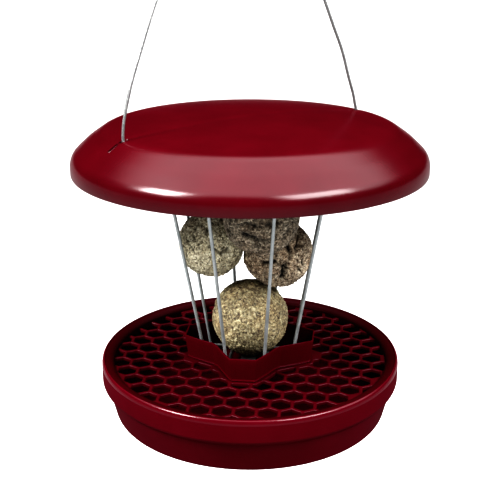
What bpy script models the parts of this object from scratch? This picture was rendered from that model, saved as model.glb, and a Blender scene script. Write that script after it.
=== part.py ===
"""Hanging suet ball feeder.

A wire cage of suet balls stands in a four-lobed socket. The socket sits in a honeycomb perch grid over
a seed tray, and one bolt up the middle holds the three together. Two arms on the cage's top ring take
the ends of a steel cable loop, and the roof slides up that cable so that the cage can be filled.

Metres, +Z up, front towards -Y. The origin is the top of the cable loop, where the feeder hangs.
Heights are given from the crest of the tray's rim, and level() turns one into a Z.
"""

import math

import bmesh
import bpy
from mathutils import Matrix, Vector

# Whole feeder
HANG_HEIGHT = 0.366  # crest of the tray's rim to the top of the cable loop
ROOF_RADIUS = 0.1400
CABLE_INSET = 0.0315  # from the roof's edge in to the cable's holes
CABLE_OUT = ROOF_RADIUS - CABLE_INSET
CAGE_TOP_SHARE = 0.645  # cage wires' circle at its top, of the cable's holes' distance
FIT_GAP = 0.0003  # between pieces that touch or are welded
CUT_OVERRUN = 0.004  # how far a cutter runs past what it cuts
BASE_TURN = math.radians(-6.2)  # cage, socket and grid are turned this far about Z
ROUND_STEPS = 52  # sides of a large turned piece

# Seed tray
TRAY_RADIUS = 0.1238
TRAY_DEPTH = 0.0480
TRAY_WALL = 0.0024
BAND_HEIGHT = 0.0155  # upright band round the rim
SHOULDER_HEIGHT = 0.0075  # from the band in to the lower wall
SHOULDER_WIDTH = 0.0068
SHADOW_GROOVE = 0.0012  # undercut line below the shoulder
TRAY_TAPER = 0.0036
RIM_ROUND = 0.0030
BASE_ROUND = 0.0045
FOOT_WIDTH = 0.0090  # standing ring under the tray
FOOT_HEIGHT = 0.0015
PILLAR_RADIUS = 0.0125  # boss in the middle of the tray, under the socket
RECESS_RADIUS = 0.0092  # bolt head's pocket under the tray
RECESS_DEPTH = 0.0060

# Perch grid
GRID_RECESS = 0.0050  # top of the honeycomb below the rim's crest
GRID_DEPTH = 0.0034
GRID_LIP_WIDTH = 0.0076  # sloped lip round the honeycomb
GRID_LIP_DROP = 0.0010  # outer edge of the lip below the rim's crest
GRID_SKIRT_WALL = 0.0020
GRID_WALL = 0.0028  # web between two cells, and round the socket
RING_WALL = 0.0025  # wall that the outermost cells are cut by
LIP_STEP = 0.0004
CELL_PITCH = 0.01725
CELL_SHIFT = (-0.0017, -0.0024)  # of the honeycomb from its middle
LEAST_CELL_SHARE = 0.16  # of a pitch: how far past an edge the centre of an opened cell may lie

# Cage
WIRE_RADIUS = 0.00140
WIRE_COUNT = 8
CAGE_LOW_RADIUS = 0.03757  # wires' circle at their lower ends
CAGE_HIGH_RADIUS = CABLE_OUT * CAGE_TOP_SHARE  # wires' circle at their upper ends
CAGE_LOW = -0.0086  # height of the wires' lower ends
CAGE_HIGH = 0.1677  # height of the wires' upper ends
TOP_RING_RADIUS = 0.00200  # of the ring's wire
FLOOR_HEIGHT = -0.0009  # upper pair of floor wires
CLAMP_WIDTH = 0.0120
CLAMP_THICKNESS = 0.0012
CLAMP_OVERHANG = 0.0028  # past the middle of the floor wires that it holds down
CLAMP_LIP = 0.0024  # flat inside the floor wires
CLAMP_SLOPE_RUN = 0.0026  # from the lip in to the sunk middle

# Socket
SOCKET_HEIGHT = 0.0155  # its upper edge, over the rim's crest
SOCKET_WALL = 0.0014
DRAFT_SHARE = 0.76  # lean of the wall, of the cage wires' lean
LOBE_OUT = 0.01613  # from the wires' circle at their lower ends out to a lobe's end
LOBE_HALF_WIDTH = 0.0109
VALLEY_OUT = 0.00053  # from the same circle out to the middle of the valley between two lobes
VALLEY_HALF_WIDTH = 0.0024
BEND_SHARE = 1.24  # a bend in a lobe's side stands this many wire rooms out from the wire behind it
WIRE_ROOM = 0.0004  # more than the fit gap between a cage wire and the socket
LEDGE_WIDTH = 0.0014  # rests on the grid
LEDGE_THICKNESS = 0.0012
DRAIN_RADIUS = 0.0030
DRAIN_CIRCLE = 0.0240

# Bolt, washer and nut
BOLT_RADIUS = 0.0024
BOLT_HOLE_RADIUS = 0.0028
BOLT_HEAD_RADIUS = 0.0055
BOLT_HEAD_HEIGHT = 0.0032
BOLT_PAST_NUT = 0.0006
BOLT_POINT_SHARE = 0.2  # of the bolt's radius, taken off its end as a chamfer
HEAD_EDGE_SHARE = 0.4  # of the head's height, down to where its edge turns in
HEAD_CROWN_SHARES = (0.75, 0.9)  # of the head's radius and height, where its crown starts
NUT_RADIUS = 0.0046  # to its corners
NUT_HEIGHT = 0.0032
WASHER_RADIUS = 0.0075
WASHER_THICKNESS = 0.0012

# Roof
ROOF_LOW = 0.1577  # height of the skirt's lower edge
ROOF_WALL = 0.0025
SKIRT_HEIGHT = 0.0115  # up to where the skirt's and the slope's lines meet
SLOPE_RUN = 0.0212
SLOPE_RISE = 0.0212
DOME_RISE = 0.0088
SKIRT_ROUND = 0.0070
TOP_ROUND = 0.0160
LIP_ROUND = 0.0009
GUIDE_RADIUS = 0.0065  # cable guides under the roof
GUIDE_BORE_RADIUS = 0.0026
RIB_THICKNESS = 0.0030
RIB_DEPTH = 0.0052  # below the underside where it meets the guides

# Hanging gear
ARM_TURN = math.radians(34.0)  # of the two arms and the cable's plane, about Z
CABLE_RADIUS = 0.00115
CABLE_LEAN = 0.0013  # how far both strands stand off the middle of their bores at the roof's top
ARM_THICKNESS = 0.0020
ARM_WIDTH = 0.0140
ARM_INSIDE = 0.0040  # how far an arm reaches in past the wires
ARM_PAST_HOLE = 0.0075
ARM_HOLE_RADIUS = 0.0017
FERRULE_RADIUS = 0.0034
FERRULE_LENGTH = 0.0100
CABLE_TAIL = 0.0015  # cable that shows under a ferrule

# Suet balls, bottom one first, then right, left and top
BALL_RADII = (0.0325, 0.0287, 0.0280, 0.0301)
LUMP_DEPTH = 0.0006  # how far the pressed seed stands in and out
LUMP_WAVES = (5.1, 4.3, 6.7, 3.9)  # how many lumps there are across a ball
PRESSED_DEPTH = 0.0012  # flat that each ball wears where another leans on it

# Where the cable runs above the roof: out from the axis and up from the roof's holes, each a share of
# the holes' distance and of the loop's height, chosen by hand from the hole to the top of the loop
LEFT_RUN_SHARES = ((1.010, 0.045), (0.992, 0.11), (0.936, 0.235), (0.859, 0.363), (0.733, 0.56),
                   (0.608, 0.705), (0.446, 0.840), (0.252, 0.940), (0.090, 0.992))
RIGHT_RUN_SHARES = ((0.972, 0.040), (0.950, 0.09), (0.902, 0.168), (0.833, 0.291), (0.738, 0.415),
                    (0.651, 0.53), (0.538, 0.685), (0.396, 0.832), (0.228, 0.938), (0.085, 0.990))
CABLE_POINTS = 78


def level(height):
    """The Z of a height over the crest of the tray's rim."""
    return height - HANG_HEIGHT


def polar(radius, angle, height=0.0):
    return Vector((radius * math.cos(angle), radius * math.sin(angle), height))


# Scene and objects


def clear_scene():
    for obj in list(bpy.data.objects):
        bpy.data.objects.remove(obj, do_unlink=True)


def new_collection(name):
    collection = bpy.data.collections.new(name)
    bpy.context.scene.collection.children.link(collection)
    return collection


def finish_material(name, colour, roughness, metallic=0.0, coat=0.0):
    made = bpy.data.materials.new(name)
    made.use_nodes = True
    shader = made.node_tree.nodes["Principled BSDF"]
    shader.inputs["Base Color"].default_value = (*colour, 1.0)
    shader.inputs["Roughness"].default_value = roughness
    shader.inputs["Metallic"].default_value = metallic
    shader.inputs["Coat Weight"].default_value = coat
    made.diffuse_color = (*colour, 1.0)
    return made


def add_object(name, data, collection):
    obj = bpy.data.objects.new(name, data)
    collection.objects.link(obj)
    return obj


def add_cutter(name, data):
    obj = add_object(name, data, cutters)
    obj.hide_render = True
    obj.display_type = "WIRE"
    return obj


def boolean(obj, other, operation):
    step = obj.modifiers.new(f"{operation.lower()}_{other.name}", "BOOLEAN")
    step.operation = operation
    step.object = other
    step.solver = "EXACT"


def mesh_of(curve_object):
    """A mesh copy of a curve object, its caps welded, and the curve removed."""
    bpy.context.view_layer.update()
    graph = bpy.context.evaluated_depsgraph_get()
    mesh = bpy.data.meshes.new_from_object(curve_object.evaluated_get(graph))
    welded = bmesh.new()
    welded.from_mesh(mesh)
    bmesh.ops.remove_doubles(welded, verts=welded.verts, dist=CABLE_RADIUS / 100)
    bmesh.ops.recalc_face_normals(welded, faces=welded.faces)
    welded.to_mesh(mesh)
    welded.free()
    bpy.data.objects.remove(curve_object, do_unlink=True)
    return mesh


# Outlines


def arc_corner(before, corner, after, radius, steps):
    """Points of the arc that rounds one corner of an outline."""
    a, b, c = Vector(before), Vector(corner), Vector(after)
    towards, away = (a - b).normalized(), (c - b).normalized()
    half = towards.angle(away) / 2
    radius = min(radius, math.tan(half) * min((a - b).length, (c - b).length) / 2)
    centre = b + (towards + away).normalized() * radius / math.sin(half)
    start = b + towards * radius / math.tan(half) - centre
    turn = start.angle_signed(b + away * radius / math.tan(half) - centre)
    return [centre + Matrix.Rotation(-turn * step / steps, 2) @ start for step in range(steps + 1)]


def rounded(points, radii, steps=4):
    """An open outline with some corners rounded: radii maps a corner's number to its radius."""
    found = []
    for number, point in enumerate(points):
        if number in radii:
            neighbours = points[number - 1], points[number + 1]
            found += arc_corner(neighbours[0], point, neighbours[1], radii[number], steps)
        else:
            found.append(Vector(point))
    return found


def offset_line(points, distance, closed):
    """The outline moved sideways to the right of its direction, corner by corner."""
    found = []
    count = len(points)
    for number, point in enumerate(points):
        here = Vector(point)
        before = Vector(points[number - 1]) if closed or number else None
        after = Vector(points[(number + 1) % count]) if closed or number < count - 1 else None
        sides = [(here - before).normalized()] if before else []
        sides += [(after - here).normalized()] if after else []
        normals = [Vector((side.y, -side.x)) for side in sides]
        middle = sum(normals, Vector((0, 0))).normalized()
        found.append(here + middle * distance / middle.dot(normals[0]))
    return found


def ring_points(radius, count, height=0.0):
    return [polar(radius, 2 * math.pi * step / count, height) for step in range(count)]


def turned_point(point, angle):
    return Matrix.Rotation(angle, 2) @ Vector(point[:2])


def wire_circle(height):
    """The radius at which the cage's wires stand at a height."""
    share = (height - CAGE_LOW) / (CAGE_HIGH - CAGE_LOW)
    return CAGE_LOW_RADIUS + share * (CAGE_HIGH_RADIUS - CAGE_LOW_RADIUS)


def socket_draft():
    """Run of the socket's wall for each unit of its rise."""
    return DRAFT_SHARE * (CAGE_HIGH_RADIUS - CAGE_LOW_RADIUS) / (CAGE_HIGH - CAGE_LOW)


def socket_outline(height, out=0.0):
    """The socket's outer outline at a height, moved outwards by out. The bends in its lobes' sides
    stand clear of the cage's wires."""
    reach = CAGE_LOW_RADIUS + LOBE_OUT
    room = WIRE_RADIUS + FIT_GAP + WIRE_ROOM + SOCKET_WALL
    bend = polar(wire_circle(SOCKET_HEIGHT) + BEND_SHARE * room, math.pi / WIRE_COUNT).to_2d()
    valley = turned_point((CAGE_LOW_RADIUS + VALLEY_OUT, -VALLEY_HALF_WIDTH), math.pi / 4)
    lobe = [(reach, -LOBE_HALF_WIDTH), (reach, LOBE_HALF_WIDTH), bend, valley]
    lobe += [Vector((valley.y, valley.x)), Vector((bend.y, bend.x))]
    outline = [turned_point(point, quarter * math.pi / 2) for quarter in range(4) for point in lobe]
    return offset_line(outline, out - socket_draft() * (SOCKET_HEIGHT - height), True)


# Shapes


def turned(name, profile, steps, collection, closed=True):
    """A turned solid. The profile runs down its outer side."""
    shape = bmesh.new()
    verts = [shape.verts.new((point[0], 0, point[1])) for point in profile]
    for first, second in zip(verts, verts[1:] + verts[:1] if closed else verts[1:]):
        shape.edges.new((first, second))
    mesh = bpy.data.meshes.new(name)
    shape.to_mesh(mesh)
    shape.free()
    obj = add_object(name, mesh, collection)
    screw = obj.modifiers.new("turn", "SCREW")
    screw.steps = steps
    screw.render_steps = steps
    screw.use_merge_vertices = True
    screw.merge_threshold = CABLE_RADIUS / 100
    screw.use_smooth_shade = True
    return obj


def tube(name, points, radius, collection, sides=2, closed=False):
    curve = bpy.data.curves.new(name, "CURVE")
    curve.dimensions = "3D"
    curve.bevel_depth = radius
    curve.bevel_resolution = sides
    curve.use_fill_caps = True
    spline = curve.splines.new("POLY")
    spline.points.add(len(points) - 1)
    for point, place in zip(spline.points, points):
        point.co = (*place, 1.0)
    spline.use_cyclic_u = closed
    return add_object(name, curve, collection)


def plate(name, outlines, thickness, collection):
    """A flat plate in XY about Z 0, from its outline and those of its holes."""
    curve = bpy.data.curves.new(name, "CURVE")
    curve.dimensions = "2D"
    curve.fill_mode = "BOTH"
    curve.extrude = thickness / 2
    for outline in outlines:
        spline = curve.splines.new("POLY")
        spline.points.add(len(outline) - 1)
        for point, place in zip(spline.points, outline):
            point.co = (place[0], place[1], 0.0, 1.0)
        spline.use_cyclic_u = True
    return add_object(name, curve, collection)


def cylinder_mesh(name, radius, depth, sides):
    shape = bmesh.new()
    bmesh.ops.create_cone(
        shape, cap_ends=True, segments=sides, radius1=radius, radius2=radius, depth=depth
    )
    mesh = bpy.data.meshes.new(name)
    shape.to_mesh(mesh)
    shape.free()
    return mesh


def box_mesh(name, size):
    shape = bmesh.new()
    bmesh.ops.create_cube(shape, size=1.0)
    bmesh.ops.scale(shape, vec=size, verts=shape.verts)
    mesh = bpy.data.meshes.new(name)
    shape.to_mesh(mesh)
    shape.free()
    return mesh


# Tray, grid and socket


def tray_floor():
    """The height of the tray's inner floor."""
    return FOOT_HEIGHT + TRAY_WALL - TRAY_DEPTH


def shoulder_seat():
    """The height of the ledge inside the tray that the grid's skirt stands on."""
    return TRAY_WALL - BAND_HEIGHT


def socket_floor():
    """The height of the top of the socket's floor, under the cage's wires and its clamp."""
    return CAGE_LOW - FIT_GAP


def make_tray():
    band_in = TRAY_RADIUS - TRAY_WALL
    low_out = TRAY_RADIUS - SHOULDER_WIDTH - SHADOW_GROOVE
    base_out = low_out - TRAY_TAPER
    foot_in = base_out - BASE_ROUND - FOOT_WIDTH
    under = FOOT_HEIGHT - TRAY_DEPTH
    shoulder = -BAND_HEIGHT - SHOULDER_HEIGHT
    pillar_top = socket_floor() - SOCKET_WALL - FIT_GAP
    outline = [
        (band_in, 0),
        (TRAY_RADIUS, 0),
        (TRAY_RADIUS, -BAND_HEIGHT),
        (TRAY_RADIUS - SHOULDER_WIDTH, shoulder),
        (low_out, shoulder - SHADOW_GROOVE),
        (base_out, -TRAY_DEPTH),
        (foot_in, -TRAY_DEPTH),
        (foot_in - FOOT_HEIGHT, under),
        (RECESS_RADIUS, under),
        (RECESS_RADIUS, under + RECESS_DEPTH),
        (BOLT_HOLE_RADIUS, under + RECESS_DEPTH),
        (BOLT_HOLE_RADIUS, pillar_top),
        (PILLAR_RADIUS, pillar_top),
        (PILLAR_RADIUS, tray_floor()),
        (base_out - TRAY_WALL, tray_floor()),
        (low_out - TRAY_WALL, shoulder_seat() - SHADOW_GROOVE),
        (low_out - TRAY_WALL + SHADOW_GROOVE, shoulder_seat()),
        (band_in, shoulder_seat()),
        (band_in, -RIM_ROUND),
    ]
    radii = {1: RIM_ROUND, 2: SHOULDER_WIDTH, 5: BASE_ROUND, 13: TRAY_WALL, 14: BASE_ROUND}
    tray = turned("seed_tray", rounded(outline, radii, 3), ROUND_STEPS, parts)
    tray.location.z = level(0)
    return tray


def cell_centres():
    """Centres of the honeycomb's cells: rows across, the middle of the grid halfway between two rows."""
    row_gap = CELL_PITCH * math.sqrt(3) / 2
    reach = math.ceil(TRAY_RADIUS / row_gap)
    centres = []
    for row in range(-reach, reach):
        shift = CELL_PITCH / 2 if row % 2 else 0.0
        for column in range(-reach, reach + 1):
            place = Vector((column * CELL_PITCH + shift, (row + 0.5) * row_gap))
            centres.append(place + Vector(CELL_SHIFT))
    return centres


def distance_outside(point, outline):
    """How far a point lies outside a closed outline, negative inside."""
    inside = False
    nearest = math.inf
    for first, second in zip(outline, outline[1:] + outline[:1]):
        side = second - first
        share = max(0.0, min(1.0, (point - first).dot(side) / side.length_squared))
        nearest = min(nearest, (point - first - share * side).length)
        crosses = (first.y > point.y) != (second.y > point.y)
        if crosses and point.x < first.x + (point.y - first.y) * side.x / side.y:
            inside = not inside
    return -nearest if inside else nearest


def make_grid():
    skirt_out = TRAY_RADIUS - TRAY_WALL - FIT_GAP
    web = skirt_out - GRID_LIP_WIDTH
    top, low = -GRID_RECESS, -GRID_RECESS - GRID_DEPTH
    wall_in = skirt_out - GRID_SKIRT_WALL
    hole = socket_outline(-GRID_RECESS, FIT_GAP)
    hub = socket_outline(-GRID_RECESS, FIT_GAP + GRID_WALL)

    cells = bmesh.new()
    cell_radius = (CELL_PITCH - GRID_WALL) / math.sqrt(3)
    for centre in cell_centres():
        past_rim = centre.length - web
        past_hub = -distance_outside(centre, hub)
        if max(past_rim, past_hub) > LEAST_CELL_SHARE * CELL_PITCH:
            continue
        place = Matrix.Translation((*centre, 0))
        bmesh.ops.create_cone(
            cells, cap_ends=True, segments=6, radius1=cell_radius, radius2=cell_radius,
            depth=GRID_DEPTH + 2 * CUT_OVERRUN, matrix=place,
        )
    cell_mesh = bpy.data.meshes.new("cells")
    cells.to_mesh(cell_mesh)
    cells.free()
    cell_cutter = add_cutter("cell_cutter", cell_mesh)
    open_disc = cylinder_mesh("open_disc", web, GRID_DEPTH + CUT_OVERRUN, ROUND_STEPS)
    open_area = add_cutter("open_area", open_disc)
    hub_block = add_cutter(
        "hub_block", mesh_of(plate("hub", [hub], GRID_DEPTH + 2 * CUT_OVERRUN, cutters))
    )
    hole_block = add_cutter(
        "hole_block", mesh_of(plate("hole", [hole], GRID_DEPTH + 2 * CUT_OVERRUN, cutters))
    )
    boolean(open_area, hub_block, "DIFFERENCE")
    boolean(cell_cutter, open_area, "INTERSECT")

    lip = [
        (skirt_out, -GRID_LIP_DROP),
        (skirt_out, shoulder_seat() + FIT_GAP),
        (wall_in, shoulder_seat() + FIT_GAP),
        (wall_in, top),
        (web + RING_WALL, top - GRID_SKIRT_WALL / 2),
        (web + RING_WALL, low),
        (web, low),
        (web, top + LIP_STEP),
    ]
    middle = (top + low) / 2
    lip = [(radius, height - middle) for radius, height in lip]
    ring = turned("lip_ring", lip, ROUND_STEPS, cutters)
    ring.hide_render = True
    ring.display_type = "WIRE"

    disc = cylinder_mesh("perch_grid", web + RING_WALL / 2, GRID_DEPTH, ROUND_STEPS)
    grid = add_object("perch_grid", disc, parts)
    boolean(grid, cell_cutter, "DIFFERENCE")
    boolean(grid, hole_block, "DIFFERENCE")
    boolean(grid, ring, "UNION")
    for obj in (grid, cell_cutter, open_area, hub_block, hole_block, ring):
        obj.location.z = level(middle)
        obj.rotation_euler.z = BASE_TURN
    return grid


def make_socket():
    floor = socket_floor()
    shell = bmesh.new()
    rims = []
    for height in (SOCKET_HEIGHT, floor - SOCKET_WALL):
        rims.append([(*point, height) for point in socket_outline(height)])
    loop = [shell.verts.new(point) for point in rims[0]]
    edges = [shell.edges.new(pair) for pair in zip(loop, loop[1:] + loop[:1])]
    pulled = bmesh.ops.extrude_edge_only(shell, edges=edges)["geom"]
    low = [item for item in pulled if isinstance(item, bmesh.types.BMVert)]
    for vert in low:
        near = min(range(len(loop)), key=lambda number: (Vector(rims[0][number]) - vert.co).length)
        vert.co = rims[1][near]
    low_edges = [
        item for item in pulled if isinstance(item, bmesh.types.BMEdge) and item.is_boundary
    ]
    bmesh.ops.contextual_create(shell, geom=low_edges)
    bmesh.ops.recalc_face_normals(shell, faces=shell.faces)
    mesh = bpy.data.meshes.new("cage_socket")
    shell.to_mesh(mesh)
    shell.free()
    socket = add_object("cage_socket", mesh, parts)
    solid = socket.modifiers.new("wall", "SOLIDIFY")
    solid.thickness = SOCKET_WALL
    solid.offset = -1.0
    solid.use_even_offset = True

    ledge_at = -GRID_RECESS + FIT_GAP + LEDGE_THICKNESS / 2
    outer = socket_outline(-GRID_RECESS, LEDGE_WIDTH)
    inner = socket_outline(-GRID_RECESS, -SOCKET_WALL / 2)
    ledge = add_cutter(
        "ledge", mesh_of(plate("ledge_plate", [outer, inner], LEDGE_THICKNESS, cutters))
    )
    ledge.location.z = ledge_at
    boolean(socket, ledge, "UNION")

    holes = [(Vector((0, 0)), BOLT_HOLE_RADIUS)]
    for quarter in range(4):
        holes.append((polar(DRAIN_CIRCLE, (quarter + 0.5) * math.pi / 2), DRAIN_RADIUS))
    for number, (centre, radius) in enumerate(holes):
        depth = SOCKET_WALL + 2 * CUT_OVERRUN
        drill = add_cutter(f"socket_drill_{number}", cylinder_mesh("drill", radius, depth, 12))
        drill.location = (centre[0], centre[1], floor)
        boolean(socket, drill, "DIFFERENCE")
        drill.parent = base
    ledge.parent = base
    socket.parent = base
    return socket


# Cage


def wire_angle(number):
    return (number + 0.5) * 2 * math.pi / WIRE_COUNT


def wire_point(number, height):
    return polar(wire_circle(height), wire_angle(number), height)


def make_cage():
    made = []
    for number in range(WIRE_COUNT):
        ends = [wire_point(number, height) for height in (CAGE_LOW, CAGE_HIGH)]
        made.append(tube(f"cage_wire_{number + 1}", ends, WIRE_RADIUS, parts))

    top_radius = wire_circle(top_ring_height()) + WIRE_RADIUS + TOP_RING_RADIUS + FIT_GAP
    circle = ring_points(top_radius, 48, top_ring_height())
    made.append(tube("cage_top_ring", circle, TOP_RING_RADIUS, parts, closed=True))

    lower = lower_floor()
    chords = ((1, 6, FLOOR_HEIGHT), (2, 5, FLOOR_HEIGHT), (0, 3, lower), (7, 4, lower))
    for number, (first, second, height) in enumerate(chords):
        a, b = wire_point(first, height), wire_point(second, height)
        short = (b - a).normalized() * (WIRE_RADIUS + FIT_GAP)
        made.append(tube(f"cage_floor_wire_{number + 1}", [a + short, b - short], WIRE_RADIUS, parts))

    for obj in made:
        obj.parent = base
    return made


def top_ring_height():
    return CAGE_HIGH - TOP_RING_RADIUS / 2


def lower_floor():
    """The height of the lower pair of floor wires."""
    return FLOOR_HEIGHT - 2 * WIRE_RADIUS - FIT_GAP


def make_clamp():
    """A pressed strip: its ends lie on the lower floor wires, and its sunk middle on the socket's floor."""
    over = wire_point(0, lower_floor()).y
    high = lower_floor() + WIRE_RADIUS + FIT_GAP
    lip = over - WIRE_RADIUS - CLAMP_LIP
    middle = lip - CLAMP_SLOPE_RUN
    half = [(over + CLAMP_OVERHANG, high), (lip, high), (middle, CAGE_LOW)]
    under = [(-x, y) for x, y in half] + half[::-1]
    upper = offset_line(under, -CLAMP_THICKNESS, False)
    strip = plate("clamp_strip", [[*under, *reversed(upper)]], CLAMP_WIDTH, cutters)
    mesh = mesh_of(strip)
    mesh.transform(Matrix.Rotation(math.pi / 2, 4, "Z") @ Matrix.Rotation(math.pi / 2, 4, "X"))
    clamp = add_object("cage_floor_clamp", mesh, parts)
    depth = CLAMP_THICKNESS + 2 * CUT_OVERRUN
    drill = add_cutter("clamp_drill", cylinder_mesh("clamp_drill", BOLT_HOLE_RADIUS, depth, 16))
    drill.location.z = CAGE_LOW
    boolean(clamp, drill, "DIFFERENCE")
    drill.parent = base
    clamp.parent = base
    return clamp


# Bolt, washer and nut


def make_fastening():
    recess = FOOT_HEIGHT - TRAY_DEPTH + RECESS_DEPTH
    washer_top = recess - FIT_GAP
    washer_low = washer_top - WASHER_THICKNESS
    washer = turned(
        "bolt_washer",
        [
            (WASHER_RADIUS, washer_top),
            (WASHER_RADIUS, washer_low),
            (BOLT_HOLE_RADIUS, washer_low),
            (BOLT_HOLE_RADIUS, washer_top),
        ],
        24,
        parts,
    )
    head_top = washer_low - FIT_GAP
    nut_low = CAGE_LOW + CLAMP_THICKNESS + FIT_GAP
    bolt_end = nut_low + NUT_HEIGHT + BOLT_PAST_NUT
    point = BOLT_RADIUS * BOLT_POINT_SHARE
    crown_out, crown_down = HEAD_CROWN_SHARES
    bolt = turned(
        "tray_bolt",
        [
            (0, bolt_end),
            (BOLT_RADIUS - point, bolt_end),
            (BOLT_RADIUS, bolt_end - point),
            (BOLT_RADIUS, head_top),
            (BOLT_HEAD_RADIUS, head_top),
            (BOLT_HEAD_RADIUS, head_top - BOLT_HEAD_HEIGHT * HEAD_EDGE_SHARE),
            (BOLT_HEAD_RADIUS * crown_out, head_top - BOLT_HEAD_HEIGHT * crown_down),
            (0, head_top - BOLT_HEAD_HEIGHT),
        ],
        16,
        parts,
        closed=False,
    )
    nut = add_object("clamp_nut", cylinder_mesh("clamp_nut", NUT_RADIUS, NUT_HEIGHT, 6), parts)
    depth = NUT_HEIGHT + 2 * CUT_OVERRUN
    drill = add_cutter("nut_drill", cylinder_mesh("nut_drill", BOLT_HOLE_RADIUS, depth, 16))
    boolean(nut, drill, "DIFFERENCE")
    nut.location.z = nut_low + NUT_HEIGHT / 2
    drill.location.z = nut.location.z
    for obj in (washer, bolt, nut, drill):
        obj.parent = base
    return [washer, bolt, nut]


# Roof


def roof_outline():
    """The roof's outer line, from the middle of its dome down to the lower edge of its skirt."""
    meet = ROOF_LOW + SKIRT_HEIGHT
    brow = (ROOF_RADIUS - SLOPE_RUN, meet + SLOPE_RISE)
    dome = []
    steps = 6
    for step in range(steps):
        share = step / steps
        dome.append((brow[0] * share, brow[1] + DOME_RISE * (1 - share * share)))
    line = [*dome, brow, (ROOF_RADIUS, meet), (ROOF_RADIUS, ROOF_LOW)]
    return rounded(line, {steps: TOP_ROUND, steps + 1: SKIRT_ROUND}, 4)


def inside_line(outer, depth):
    """The roof's line moved in by depth, from the axis to the same lower edge."""
    line = offset_line(outer, depth, False)
    line[0].x = 0.0
    line[-1].y = ROOF_LOW
    return line


def roof_height(radius):
    """The height of the roof's outer surface at a radius."""
    line = roof_outline()
    for first, second in zip(line, line[1:]):
        if first.x <= radius <= second.x:
            return first.y + (second.y - first.y) * (radius - first.x) / (second.x - first.x)
    return ROOF_LOW


def arm_top():
    return top_ring_height() + TOP_RING_RADIUS + FIT_GAP + ARM_THICKNESS


def make_roof():
    outer = roof_outline()
    inner = inside_line(outer, ROOF_WALL)
    lip = [outer[-1] + Vector((0, LIP_ROUND)), outer[-1] - Vector((LIP_ROUND, 0))]
    profile = [*outer[:-1], *lip, inner[-1], *reversed(inner[:-1])]
    roof = turned("roof", profile, ROUND_STEPS, parts, closed=False)

    core_line = inside_line(outer, ROOF_WALL / 2)
    core = turned("roof_core", [*core_line, Vector((0, ROOF_LOW))], ROUND_STEPS, cutters, closed=False)
    guide_low = arm_top() + FIT_GAP
    guide_top = ROOF_LOW + SKIRT_HEIGHT + SLOPE_RISE + DOME_RISE
    rib_low = roof_height(CABLE_OUT) - ROOF_WALL - RIB_DEPTH
    rib_size = (2 * CABLE_OUT, RIB_THICKNESS, guide_top - rib_low)
    rib = add_cutter("roof_rib", box_mesh("roof_rib", rib_size))
    rib.location.z = (guide_top + rib_low) / 2
    for side in (-1, 1):
        depth = guide_top - guide_low
        guide = add_cutter(f"guide_{side}", cylinder_mesh("guide", GUIDE_RADIUS, depth, 20))
        guide.location = (side * CABLE_OUT, 0, (guide_top + guide_low) / 2)
        guide.parent = hanger
        boolean(rib, guide, "UNION")
    boolean(rib, core, "INTERSECT")
    boolean(roof, rib, "UNION")
    for side in (-1, 1):
        depth = guide_top - guide_low + 2 * CUT_OVERRUN
        bore = add_cutter(f"guide_bore_{side}", cylinder_mesh("bore", GUIDE_BORE_RADIUS, depth, 16))
        bore.location = (side * CABLE_OUT, 0, (guide_top + guide_low) / 2)
        bore.parent = hanger
        boolean(roof, bore, "DIFFERENCE")
    core.hide_render = True
    core.display_type = "WIRE"
    rib.parent = hanger
    core.parent = hanger
    roof.parent = roof_slider
    return roof


# Cable and what holds it


def smooth_curve(points, count):
    """Evenly spaced points on a smooth curve through the given ones."""
    dense = []
    ends = [2 * points[0] - points[1], *points, 2 * points[-1] - points[-2]]
    for a, b, c, d in zip(ends, ends[1:], ends[2:], ends[3:]):
        for step in range(16):
            t = step / 16
            dense.append(
                0.5 * (2 * b + (c - a) * t + (2 * a - 5 * b + 4 * c - d) * t**2
                       + (3 * b - a - 3 * c + d) * t**3)
            )
    dense.append(points[-1])
    far = [0.0]
    for first, second in zip(dense, dense[1:]):
        far.append(far[-1] + (second - first).length)
    found = []
    number = 0
    for step in range(count):
        goal = far[-1] * step / (count - 1)
        while number < len(far) - 2 and far[number + 1] < goal:
            number += 1
        share = (goal - far[number]) / (far[number + 1] - far[number])
        found.append(dense[number].lerp(dense[number + 1], share))
    return found


def cable_route():
    """The cable's own points: from the left ferrule up through the roof, over the top and down again."""
    end = arm_top() - ARM_THICKNESS - FIT_GAP - FERRULE_LENGTH - CABLE_TAIL
    leave = roof_height(CABLE_OUT)
    loop = HANG_HEIGHT - leave - CABLE_RADIUS
    route = [Vector((-CABLE_OUT, 0, height)) for height in (end, (end + leave) / 2)]
    route.append(Vector((-CABLE_OUT - CABLE_LEAN, 0, leave)))
    for out, up in LEFT_RUN_SHARES:
        route.append(Vector((-out * CABLE_OUT, 0, leave + up * loop)))
    route.append(Vector((0, 0, leave + loop)))
    for out, up in reversed(RIGHT_RUN_SHARES):
        route.append(Vector((out * CABLE_OUT, 0, leave + up * loop)))
    route.append(Vector((CABLE_OUT - CABLE_LEAN, 0, leave)))
    route += [Vector((CABLE_OUT, 0, height)) for height in ((end + leave) / 2, end)]
    return route


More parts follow.
